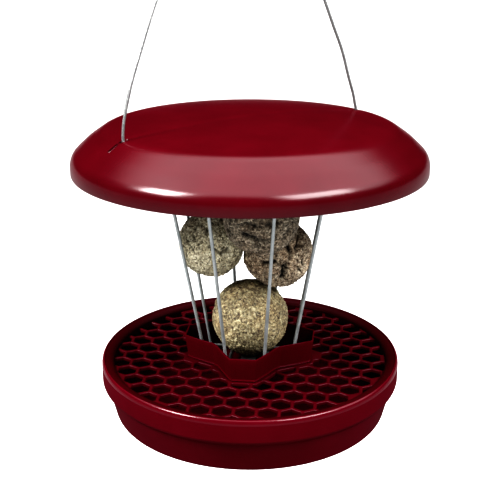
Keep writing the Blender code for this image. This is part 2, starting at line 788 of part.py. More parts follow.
def make_hanging_gear():
    made = [tube("cable", smooth_curve(cable_route(), CABLE_POINTS), CABLE_RADIUS, parts)]
    inside = wire_circle(CAGE_HIGH) - ARM_INSIDE
    side = ARM_WIDTH / 2
    nose = CABLE_OUT + ARM_PAST_HOLE - side
    for name, turn in (("right", 0.0), ("left", math.pi)):
        end = [
            Vector((nose, 0)) + polar(side, angle * math.pi / 8).to_2d() for angle in range(-4, 5)
        ]
        outline = [Vector((inside, side)), Vector((inside, -side)), *end]
        hole = [point.to_2d() + Vector((CABLE_OUT, 0)) for point in ring_points(ARM_HOLE_RADIUS, 12)]
        arm = plate(f"hanger_arm_{name}", [outline, hole], ARM_THICKNESS, parts)
        arm.location.z = arm_top() - ARM_THICKNESS / 2
        arm.rotation_euler.z = turn
        top = arm_top() - ARM_THICKNESS - FIT_GAP
        low = top - FERRULE_LENGTH
        bore = CABLE_RADIUS + FIT_GAP
        chamfer = (FERRULE_RADIUS - bore) / 3
        ferrule = turned(
            f"cable_ferrule_{name}",
            [
                (FERRULE_RADIUS - chamfer, top),
                (FERRULE_RADIUS, top - chamfer),
                (FERRULE_RADIUS, low + chamfer),
                (FERRULE_RADIUS - chamfer, low),
                (bore, low),
                (bore, top),
            ],
            16,
            parts,
        )
        ferrule.location = (CABLE_OUT * math.cos(turn), 0, 0)
        made += [arm, ferrule]
    for obj in made:
        obj.parent = hanger
    return made


# Suet balls


def place_on_wires(height, radius, angle_off):
    """How far from the axis a ball's centre stands when it touches the wires angle_off to its sides."""
    taper = (CAGE_HIGH_RADIUS - CAGE_LOW_RADIUS) / (CAGE_HIGH - CAGE_LOW)
    reach = radius + WIRE_RADIUS + FIT_GAP
    circle = wire_circle(height)
    cos, lean = math.cos(angle_off), taper**2 / (1 + taper**2)
    a = 1 - lean * cos**2
    b = -2 * circle * cos * (1 - lean)
    c = circle**2 * (1 - lean) - reach**2
    return (-b - math.sqrt(b * b - 4 * a * c)) / (2 * a)


def seat_ball(radius, direction, angle_off, placed):
    """The centre of a ball that leans on the wires and rests on the balls already there."""
    def centre(height):
        return polar(place_on_wires(height, radius, angle_off), direction, height)

    resting = []
    for other, other_radius in placed:
        apart = radius + other_radius - 2 * PRESSED_DEPTH + FIT_GAP
        low, high = other.z, other.z + apart
        if (centre(low) - other).length >= apart:
            continue
        for _ in range(40):
            middle = (low + high) / 2
            if (centre(middle) - other).length < apart:
                low = middle
            else:
                high = middle
        resting.append(high)
    return centre(max(resting))


def ball_mesh(name, radius, seed, neighbours):
    """A pressed ball of seed and fat: round, a little lumpy, no bigger than its radius, and flat
    towards each neighbour that leans on it."""
    shape = bmesh.new()
    bmesh.ops.create_uvsphere(shape, u_segments=20, v_segments=12, radius=radius)
    for vert in shape.verts:
        way = vert.co.normalized()
        lump = math.sin(LUMP_WAVES[0] * way.x + 2 * seed) * math.sin(LUMP_WAVES[1] * way.y + 3 * seed)
        lump += math.sin(LUMP_WAVES[2] * way.z + seed) * math.cos(LUMP_WAVES[3] * way.x - seed)
        vert.co -= way * LUMP_DEPTH * (2 + lump) / 4
    for way in neighbours:
        every = [*shape.verts, *shape.edges, *shape.faces]
        flat = way * (radius - PRESSED_DEPTH)
        cut = bmesh.ops.bisect_plane(
            shape, geom=every, plane_co=flat, plane_no=way, clear_outer=True
        )
        rim = [item for item in cut["geom_cut"] if isinstance(item, bmesh.types.BMEdge)]
        bmesh.ops.contextual_create(shape, geom=rim)
    bmesh.ops.recalc_face_normals(shape, faces=shape.faces)
    mesh = bpy.data.meshes.new(name)
    shape.to_mesh(mesh)
    shape.free()
    mesh.shade_smooth()
    return mesh


def make_balls():
    spacing = 2 * math.pi / WIRE_COUNT
    first, right, left, top = BALL_RADII
    reach = first + WIRE_RADIUS + FIT_GAP
    floor_off = wire_point(1, FLOOR_HEIGHT).x
    rest = Vector((0, 0, FLOOR_HEIGHT + math.sqrt(reach**2 - floor_off**2)))
    placed = [(rest, first)]
    # The right ball leans on one wire, the left one lies between two, and the top one on the front wire
    for radius, direction, angle_off in (
        (right, wire_angle(0), 0.0),
        (left, wire_angle(3) + spacing / 2, spacing / 2),
        (top, wire_angle(6), 0.0),
    ):
        placed.append((seat_ball(radius, direction, angle_off, placed), radius))
    made = []
    for number, (centre, radius) in enumerate(placed):
        leaning = []
        for other, other_radius in placed:
            apart = (other - centre).length
            if 0 < apart < radius + other_radius:
                leaning.append((other - centre) / apart)
        name = f"suet_ball_{number + 1}"
        ball = add_object(name, ball_mesh(name, radius, number + 1, leaning), parts)
        ball.location = centre
        ball.parent = base
        made.append(ball)
    return made


clear_scene()
parts = new_collection("suet_ball_feeder")
cutters = new_collection("cutters")

base = add_object("base_frame", None, parts)
base.location.z = level(0)
base.rotation_euler.z = BASE_TURN
hanger = add_object("hanger_frame", None, parts)
hanger.location.z = level(0)
hanger.rotation_euler.z = ARM_TURN
roof_slider = add_object("roof_slide_axis", None, parts)
roof_slider.location.z = level(0)
roof_slider.rotation_euler.z = ARM_TURN

burgundy = finish_material("burgundy_plastic", (0.165, 0.004, 0.020), 0.28, 0.0, 0.3)
steel_wire = finish_material("galvanised_wire", (0.42, 0.44, 0.45), 0.42, 0.9)
cable_steel = finish_material("steel_cable", (0.62, 0.63, 0.64), 0.35, 0.9)
plated = finish_material("plated_steel", (0.55, 0.55, 0.53), 0.3, 1.0)
suet = finish_material("suet_and_seed", (0.45, 0.36, 0.19), 0.85)

finishes = [
    (burgundy, [make_tray(), make_grid(), make_socket(), make_roof()]),
    (steel_wire, make_cage()),
    (plated, [make_clamp(), *make_fastening()]),
    (cable_steel, make_hanging_gear()),
    (suet, make_balls()),
]
for finish, objects in finishes:
    for obj in objects:
        obj.data.materials.append(finish)
for name in ("hanger_arm_left", "hanger_arm_right", "cable_ferrule_left", "cable_ferrule_right"):
    bpy.data.objects[name].data.materials[0] = plated
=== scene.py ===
import math

import bmesh
import bpy
import numpy as np
from mathutils import Matrix, Vector, noise


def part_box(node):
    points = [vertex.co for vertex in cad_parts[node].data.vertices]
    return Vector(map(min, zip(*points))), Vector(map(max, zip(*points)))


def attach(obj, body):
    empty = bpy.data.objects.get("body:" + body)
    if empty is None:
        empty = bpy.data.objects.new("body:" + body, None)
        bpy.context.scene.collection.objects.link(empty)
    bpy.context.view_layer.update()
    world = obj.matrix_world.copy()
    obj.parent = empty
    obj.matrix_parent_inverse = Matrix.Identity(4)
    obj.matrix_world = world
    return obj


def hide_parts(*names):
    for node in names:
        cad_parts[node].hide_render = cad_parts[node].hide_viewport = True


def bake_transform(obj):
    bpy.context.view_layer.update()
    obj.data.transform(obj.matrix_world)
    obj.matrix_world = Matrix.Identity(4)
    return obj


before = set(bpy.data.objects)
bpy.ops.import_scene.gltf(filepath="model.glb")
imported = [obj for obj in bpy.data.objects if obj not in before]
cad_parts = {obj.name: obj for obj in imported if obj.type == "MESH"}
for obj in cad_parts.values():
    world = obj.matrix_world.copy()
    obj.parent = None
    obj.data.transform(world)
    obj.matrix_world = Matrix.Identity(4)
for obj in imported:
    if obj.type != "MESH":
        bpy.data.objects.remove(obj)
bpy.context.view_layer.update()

# Metres. The origin is the top of the cable loop, and the tray's rim is 0.366 m below it.
rimZ = -0.366
baseTurn = math.radians(-6.2)  # of the cage and its socket about Z
armTurn = math.radians(34.0)  # of the arms and the cable's plane about Z
viewTilt = 0.3305  # radians that the camera looks down
fitGap = 0.0003  # between pieces that touch


def say(words):
    print("scene:", words)


def polar(radius, angle, z=0.0):
    return Vector((radius * math.cos(angle), radius * math.sin(angle), z))


def newObject(name, data):
    obj = bpy.data.objects.new(name, data)
    bpy.context.scene.collection.objects.link(obj)
    return obj


# Camera, at the photograph's angle

lens = bpy.data.cameras.new("photo_camera")
lens.sensor_width = 36.0
lens.lens = 68.4
lens.clip_start = 0.01
camera = newObject("photo_camera", lens)
camera.location = (0.0, -0.7320, -0.0263)
camera.rotation_euler = (math.pi / 2 - viewTilt, 0.0, 0.0)
bpy.context.scene.camera = camera
say("camera placed")


# Materials


def newMaterial(name):
    made = bpy.data.materials.new(name)
    made.use_nodes = True
    return made, made.node_tree, made.node_tree.nodes["Principled BSDF"]


def addNode(tree, kind, inputs=None, **settings):
    made = tree.nodes.new(kind)
    for key, value in settings.items():
        setattr(made, key, value)
    for key, value in (inputs or {}).items():
        made.inputs[key].default_value = value
    return made


def noiseNode(tree, place, scale, detail=3.0, rough=0.55):
    made = addNode(tree, "ShaderNodeTexNoise",
                   {"Scale": scale, "Detail": detail, "Roughness": rough})
    tree.links.new(place, made.inputs["Vector"])
    return made


def rampNode(tree, value, stops, ease="LINEAR"):
    made = tree.nodes.new("ShaderNodeValToRGB")
    made.color_ramp.interpolation = ease
    points = made.color_ramp.elements
    while len(points) < len(stops):
        points.new(0.5)
    for point, (at, colour) in zip(points, stops):
        point.position = at
        point.color = (*colour, 1.0)
    tree.links.new(value, made.inputs["Fac"])
    return made


def rangeNode(tree, value, low, high, fromLow=0.0, fromHigh=1.0):
    made = addNode(tree, "ShaderNodeMapRange",
                   {"From Min": fromLow, "From Max": fromHigh, "To Min": low, "To Max": high})
    tree.links.new(value, made.inputs["Value"])
    return made


def mixNode(tree, share, first, second, blend="MIX"):
    made = tree.nodes.new("ShaderNodeMix")
    made.data_type = "RGBA"
    made.blend_type = blend
    if isinstance(share, float):
        made.inputs["Factor"].default_value = share
    else:
        tree.links.new(share, made.inputs["Factor"])
    tree.links.new(first, made.inputs["A"])
    if isinstance(second, tuple):
        made.inputs["B"].default_value = (*second, 1.0)
    else:
        tree.links.new(second, made.inputs["B"])
    return made


def bumpNode(tree, height, distance, strength, after=None):
    made = addNode(tree, "ShaderNodeBump", {"Distance": distance, "Strength": strength})
    tree.links.new(height, made.inputs["Height"])
    if after is not None:
        tree.links.new(after, made.inputs["Normal"])
    return made


plasticLooks = {
    "roof": {"deep": (0.026, 0.0003, 0.0023), "bright": (0.030, 0.0005, 0.0028),
             "gloss": 0.38, "coatRoughness": 0.22},
    "base": {"deep": (0.035, 0.0003, 0.0034), "bright": (0.039, 0.0005, 0.0041),
             "gloss": 0.04, "coatRoughness": 0.25},
    "edge": {"deep": (0.035, 0.0003, 0.0033), "bright": (0.039, 0.0005, 0.0040),
             "gloss": 0.36, "coatRoughness": 0.20},
    "perch": {"deep": (0.026, 0.0003, 0.0028), "bright": (0.031, 0.0005, 0.0033),
              "gloss": 0.17, "coatRoughness": 0.34},
    # darker, a painted shade on the perch grid's lip
    "lip": {"deep": (0.0165, 0.0002, 0.0016), "bright": (0.0195, 0.0003, 0.0019),
            "gloss": 0.08, "coatRoughness": 0.40},
    # darker and duller, a painted shade for the insides of the tray and the socket
    "inside": {"deep": (0.016, 0.0004, 0.0016), "bright": (0.022, 0.0006, 0.0023),
               "gloss": 0.02, "coatRoughness": 0.60},
}
plasticGrain = {  # how many a metre, and how deep
    "clouds": 26.0,
    "wear": 190.0,
    "grain": 2400.0,
    "grainDepth": 0.000006,
    "waves": 60.0,
    "waveDepth": 0.0003,
    "roughness": (0.45, 0.65),
}


def makePlastic(name, look):
    made, tree, shader = newMaterial(name)
    place = tree.nodes.new("ShaderNodeTexCoord").outputs["Object"]
    cloud = noiseNode(tree, place, plasticGrain["clouds"], 4.0)
    tone = rampNode(tree, cloud.outputs["Fac"], [(0.35, look["deep"]), (0.66, look["bright"])])
    tree.links.new(tone.outputs["Color"], shader.inputs["Base Color"])
    wear = noiseNode(tree, place, plasticGrain["wear"], 5.0)
    rough = rangeNode(tree, wear.outputs["Fac"], *plasticGrain["roughness"], 0.3, 0.7)
    tree.links.new(rough.outputs["Result"], shader.inputs["Roughness"])
    # Fine satin grain from the mould, and a slow unevenness of the surface
    grain = noiseNode(tree, place, plasticGrain["grain"], 2.0)
    fine = bumpNode(tree, grain.outputs["Fac"], plasticGrain["grainDepth"], 0.45)
    wave = noiseNode(tree, place, plasticGrain["waves"], 1.0)
    slow = bumpNode(tree, wave.outputs["Fac"], plasticGrain["waveDepth"], 0.06, fine.outputs["Normal"])
    tree.links.new(slow.outputs["Normal"], shader.inputs["Normal"])
    tree.links.new(slow.outputs["Normal"], shader.inputs["Coat Normal"])
    shader.inputs["Specular IOR Level"].default_value = 0.0
    shader.inputs["Coat Weight"].default_value = look["gloss"]
    shader.inputs["Coat Roughness"].default_value = look["coatRoughness"]
    return made


metalLooks = {  # patches a metre, and the depth of the lines left by drawing or plating
    "wire": {"dark": (0.20, 0.213, 0.215), "light": (0.28, 0.293, 0.295),
             "roughness": (0.42, 0.55), "patches": 160.0, "lineDepth": 0.00002, "metallic": 0.7},
    # dark, a painted shade for the wires inside the socket
    "shaded": {"dark": (0.03, 0.03, 0.03), "light": (0.06, 0.058, 0.055),
               "roughness": (0.5, 0.7), "patches": 160.0, "lineDepth": 0.00002, "metallic": 0.5},
    "cable": {"dark": (0.090, 0.0925, 0.095), "light": (0.190, 0.190, 0.187),
              "roughness": (0.30, 0.44), "patches": 900.0, "lineDepth": 0.00001, "metallic": 0.75},
    "plated": {"dark": (0.30, 0.30, 0.29), "light": (0.46, 0.46, 0.45),
               "roughness": (0.28, 0.42), "patches": 260.0, "lineDepth": 0.00001, "metallic": 0.9},
}
metalLines = {"perMetre": 2600.0, "stretch": (1.0, 1.0, 0.12)}


def makeMetal(name, look):
    made, tree, shader = newMaterial(name)
    place = tree.nodes.new("ShaderNodeTexCoord").outputs["Object"]
    cloud = noiseNode(tree, place, look["patches"], 5.0, 0.6)
    tone = rampNode(tree, cloud.outputs["Fac"], [(0.34, look["dark"]), (0.66, look["light"])])
    tree.links.new(tone.outputs["Color"], shader.inputs["Base Color"])
    rough = rangeNode(tree, cloud.outputs["Fac"], *look["roughness"], 0.3, 0.7)
    tree.links.new(rough.outputs["Result"], shader.inputs["Roughness"])
    stretched = addNode(tree, "ShaderNodeMapping", {"Scale": metalLines["stretch"]})
    tree.links.new(place, stretched.inputs["Vector"])
    lines = noiseNode(tree, stretched.outputs["Vector"], metalLines["perMetre"], 2.0)
    marks = bumpNode(tree, lines.outputs["Fac"], look["lineDepth"], 0.5)
    tree.links.new(marks.outputs["Normal"], shader.inputs["Normal"])
    shader.inputs["Metallic"].default_value = look["metallic"]
    return made


suetLook = {
    "crumbsPerMetre": 1050.0,
    "crumbDepth": 0.0006,
    "crumbShare": 0.45,
    "patchesPerMetre": 55.0,
    "clumpsPerMetre": 150.0,
    "clumpTones": [(0.36, (0.34, 0.31, 0.28)), (0.50, (0.78, 0.76, 0.74)), (0.62, (1.0, 1.0, 1.0))],
    "roughness": (0.62, 0.9),
}
# The share that the clumps darken, five tones from pale to dark, and the tint of the patches
suetTones = {
    "suet_pale": (0.45, (0.40, 0.37, 0.25), (0.25, 0.21, 0.122), (0.15, 0.12, 0.074),
                  (0.074, 0.053, 0.036), (0.008, 0.007, 0.006), (0.54, 0.46, 0.38)),
    "suet_brown": (0.80, (0.80, 0.72, 0.57), (0.50, 0.415, 0.31), (0.285, 0.23, 0.165),
                   (0.138, 0.092, 0.066), (0.009, 0.008, 0.007), (0.54, 0.45, 0.39)),
    "suet_olive": (0.50, (0.80, 0.77, 0.61), (0.55, 0.51, 0.375), (0.35, 0.32, 0.23),
                   (0.165, 0.14, 0.10), (0.012, 0.011, 0.009), (0.50, 0.47, 0.42)),
    "suet_rosy": (0.80, (0.53, 0.48, 0.385), (0.315, 0.27, 0.207), (0.17, 0.145, 0.11),
                  (0.081, 0.065, 0.048), (0.006, 0.006, 0.006), (0.54, 0.46, 0.41)),
}


# The balls' meshes carry which seed a point is on, as grain, and a second attribute of painted shade,
# which darkens the colour in cracks and between the seeds
def makeSuet(name, clumpShare, pale, straw, middle, brown, dark, warm):
    made, tree, shader = newMaterial(name)
    place = tree.nodes.new("ShaderNodeTexCoord").outputs["Object"]
    crumbs = addNode(tree, "ShaderNodeTexVoronoi", {"Scale": suetLook["crumbsPerMetre"]})
    tree.links.new(place, crumbs.inputs["Vector"])
    crumbGrey = tree.nodes.new("ShaderNodeSeparateColor")
    tree.links.new(crumbs.outputs["Color"], crumbGrey.inputs["Color"])
    grain = addNode(tree, "ShaderNodeAttribute", attribute_name="grain")
    seedTone = rampNode(tree, grain.outputs["Fac"],
                        [(0.0, dark), (0.07, brown), (0.22, middle), (0.46, straw), (0.74, pale)],
                        "CONSTANT")
    crumbTone = rampNode(tree, crumbGrey.outputs["Green"],
                         [(0.0, dark), (0.14, middle), (0.36, pale), (0.64, straw), (0.84, brown)],
                         "CONSTANT")
    mixed = mixNode(tree, suetLook["crumbShare"], seedTone.outputs["Color"], crumbTone.outputs["Color"])
    patch = noiseNode(tree, place, suetLook["patchesPerMetre"], 3.0)
    patchShare = rangeNode(tree, patch.outputs["Fac"], 0.0, 0.5, 0.44, 0.70)
    tinted = mixNode(tree, patchShare.outputs["Result"], mixed.outputs["Result"], warm, "OVERLAY")
    clump = noiseNode(tree, place, suetLook["clumpsPerMetre"], 4.0, 0.6)
    shade = rampNode(tree, clump.outputs["Fac"], suetLook["clumpTones"])
    tinted = mixNode(tree, clumpShare, tinted.outputs["Result"], shade.outputs["Color"], "MULTIPLY")
    paintedShade = addNode(tree, "ShaderNodeAttribute", attribute_name="paintedShade")
    # Painted shade: the colour goes to the dark tone in cracks and between the seeds
    final = mixNode(tree, paintedShade.outputs["Fac"], tinted.outputs["Result"], dark)
    tree.links.new(final.outputs["Result"], shader.inputs["Base Color"])
    rough = rangeNode(tree, crumbGrey.outputs["Blue"], *suetLook["roughness"])
    tree.links.new(rough.outputs["Result"], shader.inputs["Roughness"])
    small = bumpNode(tree, crumbs.outputs["Distance"], -suetLook["crumbDepth"], 0.9)
    tree.links.new(small.outputs["Normal"], shader.inputs["Normal"])
    shader.inputs["Specular IOR Level"].default_value = 0.30
    return made


roofPlastic = makePlastic("burgundy_plastic_roof", plasticLooks["roof"])
plastic = makePlastic("burgundy_plastic_base", plasticLooks["base"])
edgePlastic = makePlastic("burgundy_plastic_polished", plasticLooks["edge"])
perchPlastic = makePlastic("burgundy_plastic_perch", plasticLooks["perch"])
# Painted shade on the perch grid's lip
lipPlastic = makePlastic("burgundy_plastic_lip_painted_shade", plasticLooks["lip"])
# Painted shade for the insides of the tray and the socket
insidePlastic = makePlastic("burgundy_plastic_inside_painted_shade", plasticLooks["inside"])
wireMetal = makeMetal("galvanised_wire_drawn", metalLooks["wire"])
# Painted shade for the floor wires and the clamp inside the socket
shadedWire = makeMetal("galvanised_wire_painted_shade", metalLooks["shaded"])
cableMetal = makeMetal("steel_cable_strands", metalLooks["cable"])
platedMetal = makeMetal("zinc_plated", metalLooks["plated"])
# Bottom, right, left and top ball
suetLooks = [makeSuet(name, *tones) for name, tones in suetTones.items()]
say("materials made")


# Mesh tools


def addMesh(name, points, faces, material, smooth=True):
    mesh = bpy.data.meshes.new(name)
    mesh.from_pydata([tuple(point) for point in points], [], faces)
    mesh.validate()
    if smooth:
        mesh.shade_smooth()
    mesh.materials.append(material)
    return newObject(name, mesh)


# An object from a bmesh, which is then freed
def shapeObject(name, shape):
    mesh = bpy.data.meshes.new(name)
    shape.to_mesh(mesh)
    shape.free()
    return newObject(name, mesh)


# Faces turned outwards, after points closer than weld are made one
def turnOutwards(obj, weld=0.0):
    shape = bmesh.new()
    shape.from_mesh(obj.data)
    if weld:
        bmesh.ops.remove_doubles(shape, verts=shape.verts, dist=weld)
    bmesh.ops.recalc_face_normals(shape, faces=shape.faces)
    shape.to_mesh(obj.data)
    shape.free()
    return obj


# The filled mesh of flat closed outlines, the first with the others as its holes
def filledMesh(name, outlines, **settings):
    curve = bpy.data.curves.new(name, "CURVE")
    curve.dimensions = "2D"
    curve.fill_mode = "BOTH"
    for key, value in settings.items():
        setattr(curve, key, value)
    for outline in outlines:
        spline = curve.splines.new("POLY")
        spline.points.add(len(outline) - 1)
        for point, place in zip(spline.points, outline):
            point.co = (place[0], place[1], 0.0, 1.0)
        spline.use_cyclic_u = True
    holder = newObject(name, curve)
    bpy.context.view_layer.update()
    graph = bpy.context.evaluated_depsgraph_get()
    mesh = bpy.data.meshes.new_from_object(holder.evaluated_get(graph))
    bpy.data.objects.remove(holder, do_unlink=True)
    return mesh


# Faces that look inwards, or up from a floor, get the material with this number. Both callers give them
# the darker inside material, a painted shade
def lineInside(obj, low, high, floorLow, floorHigh, number=1):
    for face in obj.data.polygons:
        z = face.center.z - rimZ
        inwards = face.normal.x * face.center.x + face.normal.y * face.center.y < 0
        if inwards and low < z < high or face.normal.z > 0.7 and floorLow < z < floorHigh:
            face.material_index = number


# Applies the object's modifiers
def settle(obj):
    bpy.context.view_layer.update()
    graph = bpy.context.evaluated_depsgraph_get()
    mesh = bpy.data.meshes.new_from_object(obj.evaluated_get(graph))
    old = obj.data
    obj.modifiers.clear()
    obj.data = mesh
    bpy.data.meshes.remove(old)
    return obj


# Cuts the cutters from the object, or joins them on, and removes them
def cut(obj, cutters, operation="DIFFERENCE"):
    for cutter in cutters:
        step = obj.modifiers.new("cut", "BOOLEAN")
        step.operation = operation
        step.object = cutter
        step.solver = "EXACT"
    settle(obj)
    for cutter in cutters:
        bpy.data.objects.remove(cutter, do_unlink=True)
    return obj


# One object from several, which keeps the first one's name
def join(objects):
    whole = bmesh.new()
    for obj in objects:
        obj.data.transform(obj.matrix_world)
        whole.from_mesh(obj.data)
    first = objects[0]
    whole.to_mesh(first.data)
    whole.free()
    first.matrix_world = Matrix.Identity(4)
    for obj in objects[1:]:
        bpy.data.objects.remove(obj, do_unlink=True)
    return first


# Smooth shading that keeps edges sharper than this
def softEdges(obj, degrees=32.0):
    shape = bmesh.new()
    shape.from_mesh(obj.data)
    for face in shape.faces:
        face.smooth = True
    for edge in shape.edges:
        edge.smooth = len(edge.link_faces) == 2 and edge.calc_face_angle(0.0) < math.radians(degrees)
    shape.to_mesh(obj.data)
    shape.free()
    return obj


def arcCorner(before, corner, after, radius, steps):
    a, b, c = Vector(before), Vector(corner), Vector(after)
    towards, away = (a - b).normalized(), (c - b).normalized()
    half = towards.angle(away) / 2
    radius = min(radius, math.tan(half) * min((a - b).length, (c - b).length) * 0.49)
    centre = b + (towards + away).normalized() * radius / math.sin(half)
    start = b + towards * radius / math.tan(half) - centre
    turn = start.angle_signed(b + away * radius / math.tan(half) - centre)
    return [centre + Matrix.Rotation(-turn * step / steps, 2) @ start for step in range(steps + 1)]


# An open outline with corners rounded: radii maps a corner's number to its radius
def roundedLine(points, radii, steps=6):
    found = []
    for number, point in enumerate(points):
        if number in radii:
            found += arcCorner(points[number - 1], point, points[number + 1], radii[number], steps)
        else:
            found.append(Vector(point))
    return found


# A closed outline with every corner rounded that turns more than a little
def roundedLoop(points, radius, steps=3):
    found = []
    count = len(points)
    for number, point in enumerate(points):
        before, after = points[number - 1], points[(number + 1) % count]
        turn = (Vector(point) - Vector(before)).angle(Vector(after) - Vector(point), 0.0)
        if turn > math.radians(20):
            found += arcCorner(before, point, after, radius, steps)
        else:
            found.append(Vector(point))
    return found


# The outline moved to the right of its direction
def offsetLoop(points, distance, closed=True):
    found = []
    count = len(points)
    for number, point in enumerate(points):
        here = Vector(point)
        sides = []
        if closed or number:
            sides.append((here - Vector(points[number - 1])).normalized())
        if closed or number < count - 1:
            sides.append((Vector(points[(number + 1) % count]) - here).normalized())
        normals = [Vector((side.y, -side.x)) for side in sides]
        middle = sum(normals, Vector((0, 0))).normalized()
        found.append(here + middle * distance / middle.dot(normals[0]))
    return found


# Points and faces between rings that all have the same number of points
def loft(rings, closedEnds=False, wrap=False):
    count = len(rings[0])
    points = [point for ring in rings for point in ring]
    faces = []
    pairs = list(zip(range(len(rings)), range(1, len(rings))))
    if wrap:
        pairs.append((len(rings) - 1, 0))
    for low, high in pairs:
        for step in range(count):
            after = (step + 1) % count
            faces.append((low * count + step, low * count + after,
                          high * count + after, high * count + step))
    if closedEnds:
        faces.append(tuple(reversed(range(count))))
        faces.append(tuple(range(len(points) - count, len(points))))
    return points, faces


# A turned piece about Z. An open profile starts and ends on the axis
def lathe(name, profile, steps, material, closed=True, turn=0.0):
    inner = profile if closed else profile[1:-1]
    rings = [[polar(point[0], turn + 2 * math.pi * step / steps, point[1]) for step in range(steps)]
             for point in inner]
    points, faces = loft(rings, wrap=closed)
    if not closed:
        top, low = len(points), len(points) + 1
        points += [Vector((0, 0, profile[0][1])), Vector((0, 0, profile[-1][1]))]
        last = (len(inner) - 1) * steps
        for step in range(steps):
            after = (step + 1) % steps
            faces.append((top, after, step))
            faces.append((low, last + step, last + after))
    return turnOutwards(addMesh(name, points, faces, material))


def drill(name, radius, depth, place, sides=32, upperRadius=None):
    shape = bmesh.new()
    bmesh.ops.create_cone(shape, cap_ends=True, segments=sides, radius1=radius,
                          radius2=upperRadius or radius, depth=depth,
                          matrix=Matrix.Translation(place))
    return shapeObject(name, shape)


# Rings round a path without a twist of their own. radiusAt takes the angle and the way along
def tubeRings(points, radiusAt, sides):
    rings = []
    side = None
    far = 0.0
    for number, point in enumerate(points):
        before = points[max(0, number - 1)]
        after = points[min(len(points) - 1, number + 1)]
        along = (after - before).normalized()
        if side is None:
            side = along.orthogonal().normalized()
        side = (side - along * side.dot(along)).normalized()
        other = along.cross(side)
        if number:
            far += (point - points[number - 1]).length
        ring = []
        for step in range(sides):
            angle = 2 * math.pi * step / sides
            reach = radiusAt(angle, far)
            ring.append(point + reach * (math.cos(angle) * side + math.sin(angle) * other))
        rings.append(ring)
    return rings


# Evenly spaced points on a smooth curve through the given ones
def smoothCurve(points, count):
    dense = []
    ends = [2 * points[0] - points[1], *points, 2 * points[-1] - points[-2]]
    for a, b, c, d in zip(ends, ends[1:], ends[2:], ends[3:]):
        for step in range(16):
            t = step / 16
            dense.append(0.5 * (2 * b + (c - a) * t + (2 * a - 5 * b + 4 * c - d) * t**2
                                + (3 * b - a - 3 * c + d) * t**3))
    dense.append(points[-1])
    far = [0.0]
    for first, second in zip(dense, dense[1:]):
        far.append(far[-1] + (second - first).length)
    found = []
    number = 0
    for step in range(count):
        goal = far[-1] * step / (count - 1)
        while number < len(far) - 2 and far[number + 1] < goal:
            number += 1
        share = (goal - far[number]) / (far[number + 1] - far[number])
        found.append(dense[number].lerp(dense[number + 1], share))
    return found


# Cable: up through the left hole, over the top and down through the right hole

cableLook = {
    "radius": 0.00115,
    "out": 0.1085,  # from the axis to the roof's holes
    "lean": 0.0013,
    "holeZ": rimZ + 0.1918,
    "endZ": rimZ + 0.1572,
    "strands": 6,
    "lay": 0.0105,  # length of one turn of the strands
    "grooveShare": 0.17,
}
leftRun = ((1.010, 0.045), (0.992, 0.11), (0.936, 0.235), (0.859, 0.363), (0.733, 0.56),
           (0.608, 0.705), (0.446, 0.840), (0.252, 0.940), (0.090, 0.992))
rightRun = ((0.972, 0.040), (0.950, 0.09), (0.902, 0.168), (0.833, 0.291), (0.738, 0.415),
            (0.651, 0.53), (0.538, 0.685), (0.396, 0.832), (0.228, 0.938), (0.085, 0.990))


# A point in the plane of the cable, out from the axis towards the right hole
def hangerPoint(out, z):
    return polar(out, armTurn, z)


def cableRoute():
    out, lean = cableLook["out"], cableLook["lean"]
    hole, end = cableLook["holeZ"], cableLook["endZ"]
    rise = -hole - cableLook["radius"] - 0.00006
    route = [hangerPoint(-out, z) for z in (end, (end + hole) / 2)]
    route.append(hangerPoint(-out - lean, hole))
    route += [hangerPoint(-share * out, hole + up * rise) for share, up in leftRun]
    route.append(hangerPoint(0.0, hole + rise))
    route += [hangerPoint(share * out, hole + up * rise) for share, up in reversed(rightRun)]
    route.append(hangerPoint(out - lean, hole))
    route += [hangerPoint(out, z) for z in ((end + hole) / 2, end)]
    return route


def ropeMesh(name, points):
    radius, strands = cableLook["radius"], cableLook["strands"]
    groove = cableLook["grooveShare"]

    def radiusAt(angle, far):
        lobe = abs(math.cos(strands / 2 * (angle - 2 * math.pi * far / cableLook["lay"])))
        return radius * (1 - groove * (1 - lobe) ** 1.3)

    points, faces = loft(tubeRings(points, radiusAt, strands * 6), closedEnds=True)
    return addMesh(name, points, faces, cableMetal)


wholeRoute = smoothCurve(cableRoute(), 1500)
firstOut = next(n for n, point in enumerate(wholeRoute) if point.z > cableLook["holeZ"])
lastOut = max(n for n, point in enumerate(wholeRoute) if point.z > cableLook["holeZ"])
loopPoints = wholeRoute[firstOut - 1:lastOut + 2]
loopLength = sum((b - a).length for a, b in zip(loopPoints, loopPoints[1:]))
cableLoop = ropeMesh("cable_loop", loopPoints)
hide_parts("cable")
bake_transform(cableLoop)
for name, tailPoints in (("left", wholeRoute[:firstOut + 2]),
                         ("right", wholeRoute[lastOut - 1:][::-1])):
    tail = ropeMesh(f"cable_end_{name}", tailPoints)
    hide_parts("cable")
    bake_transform(tail)
say(f"cable, {1000 * loopLength:.0f} mm above the roof")


# Roof

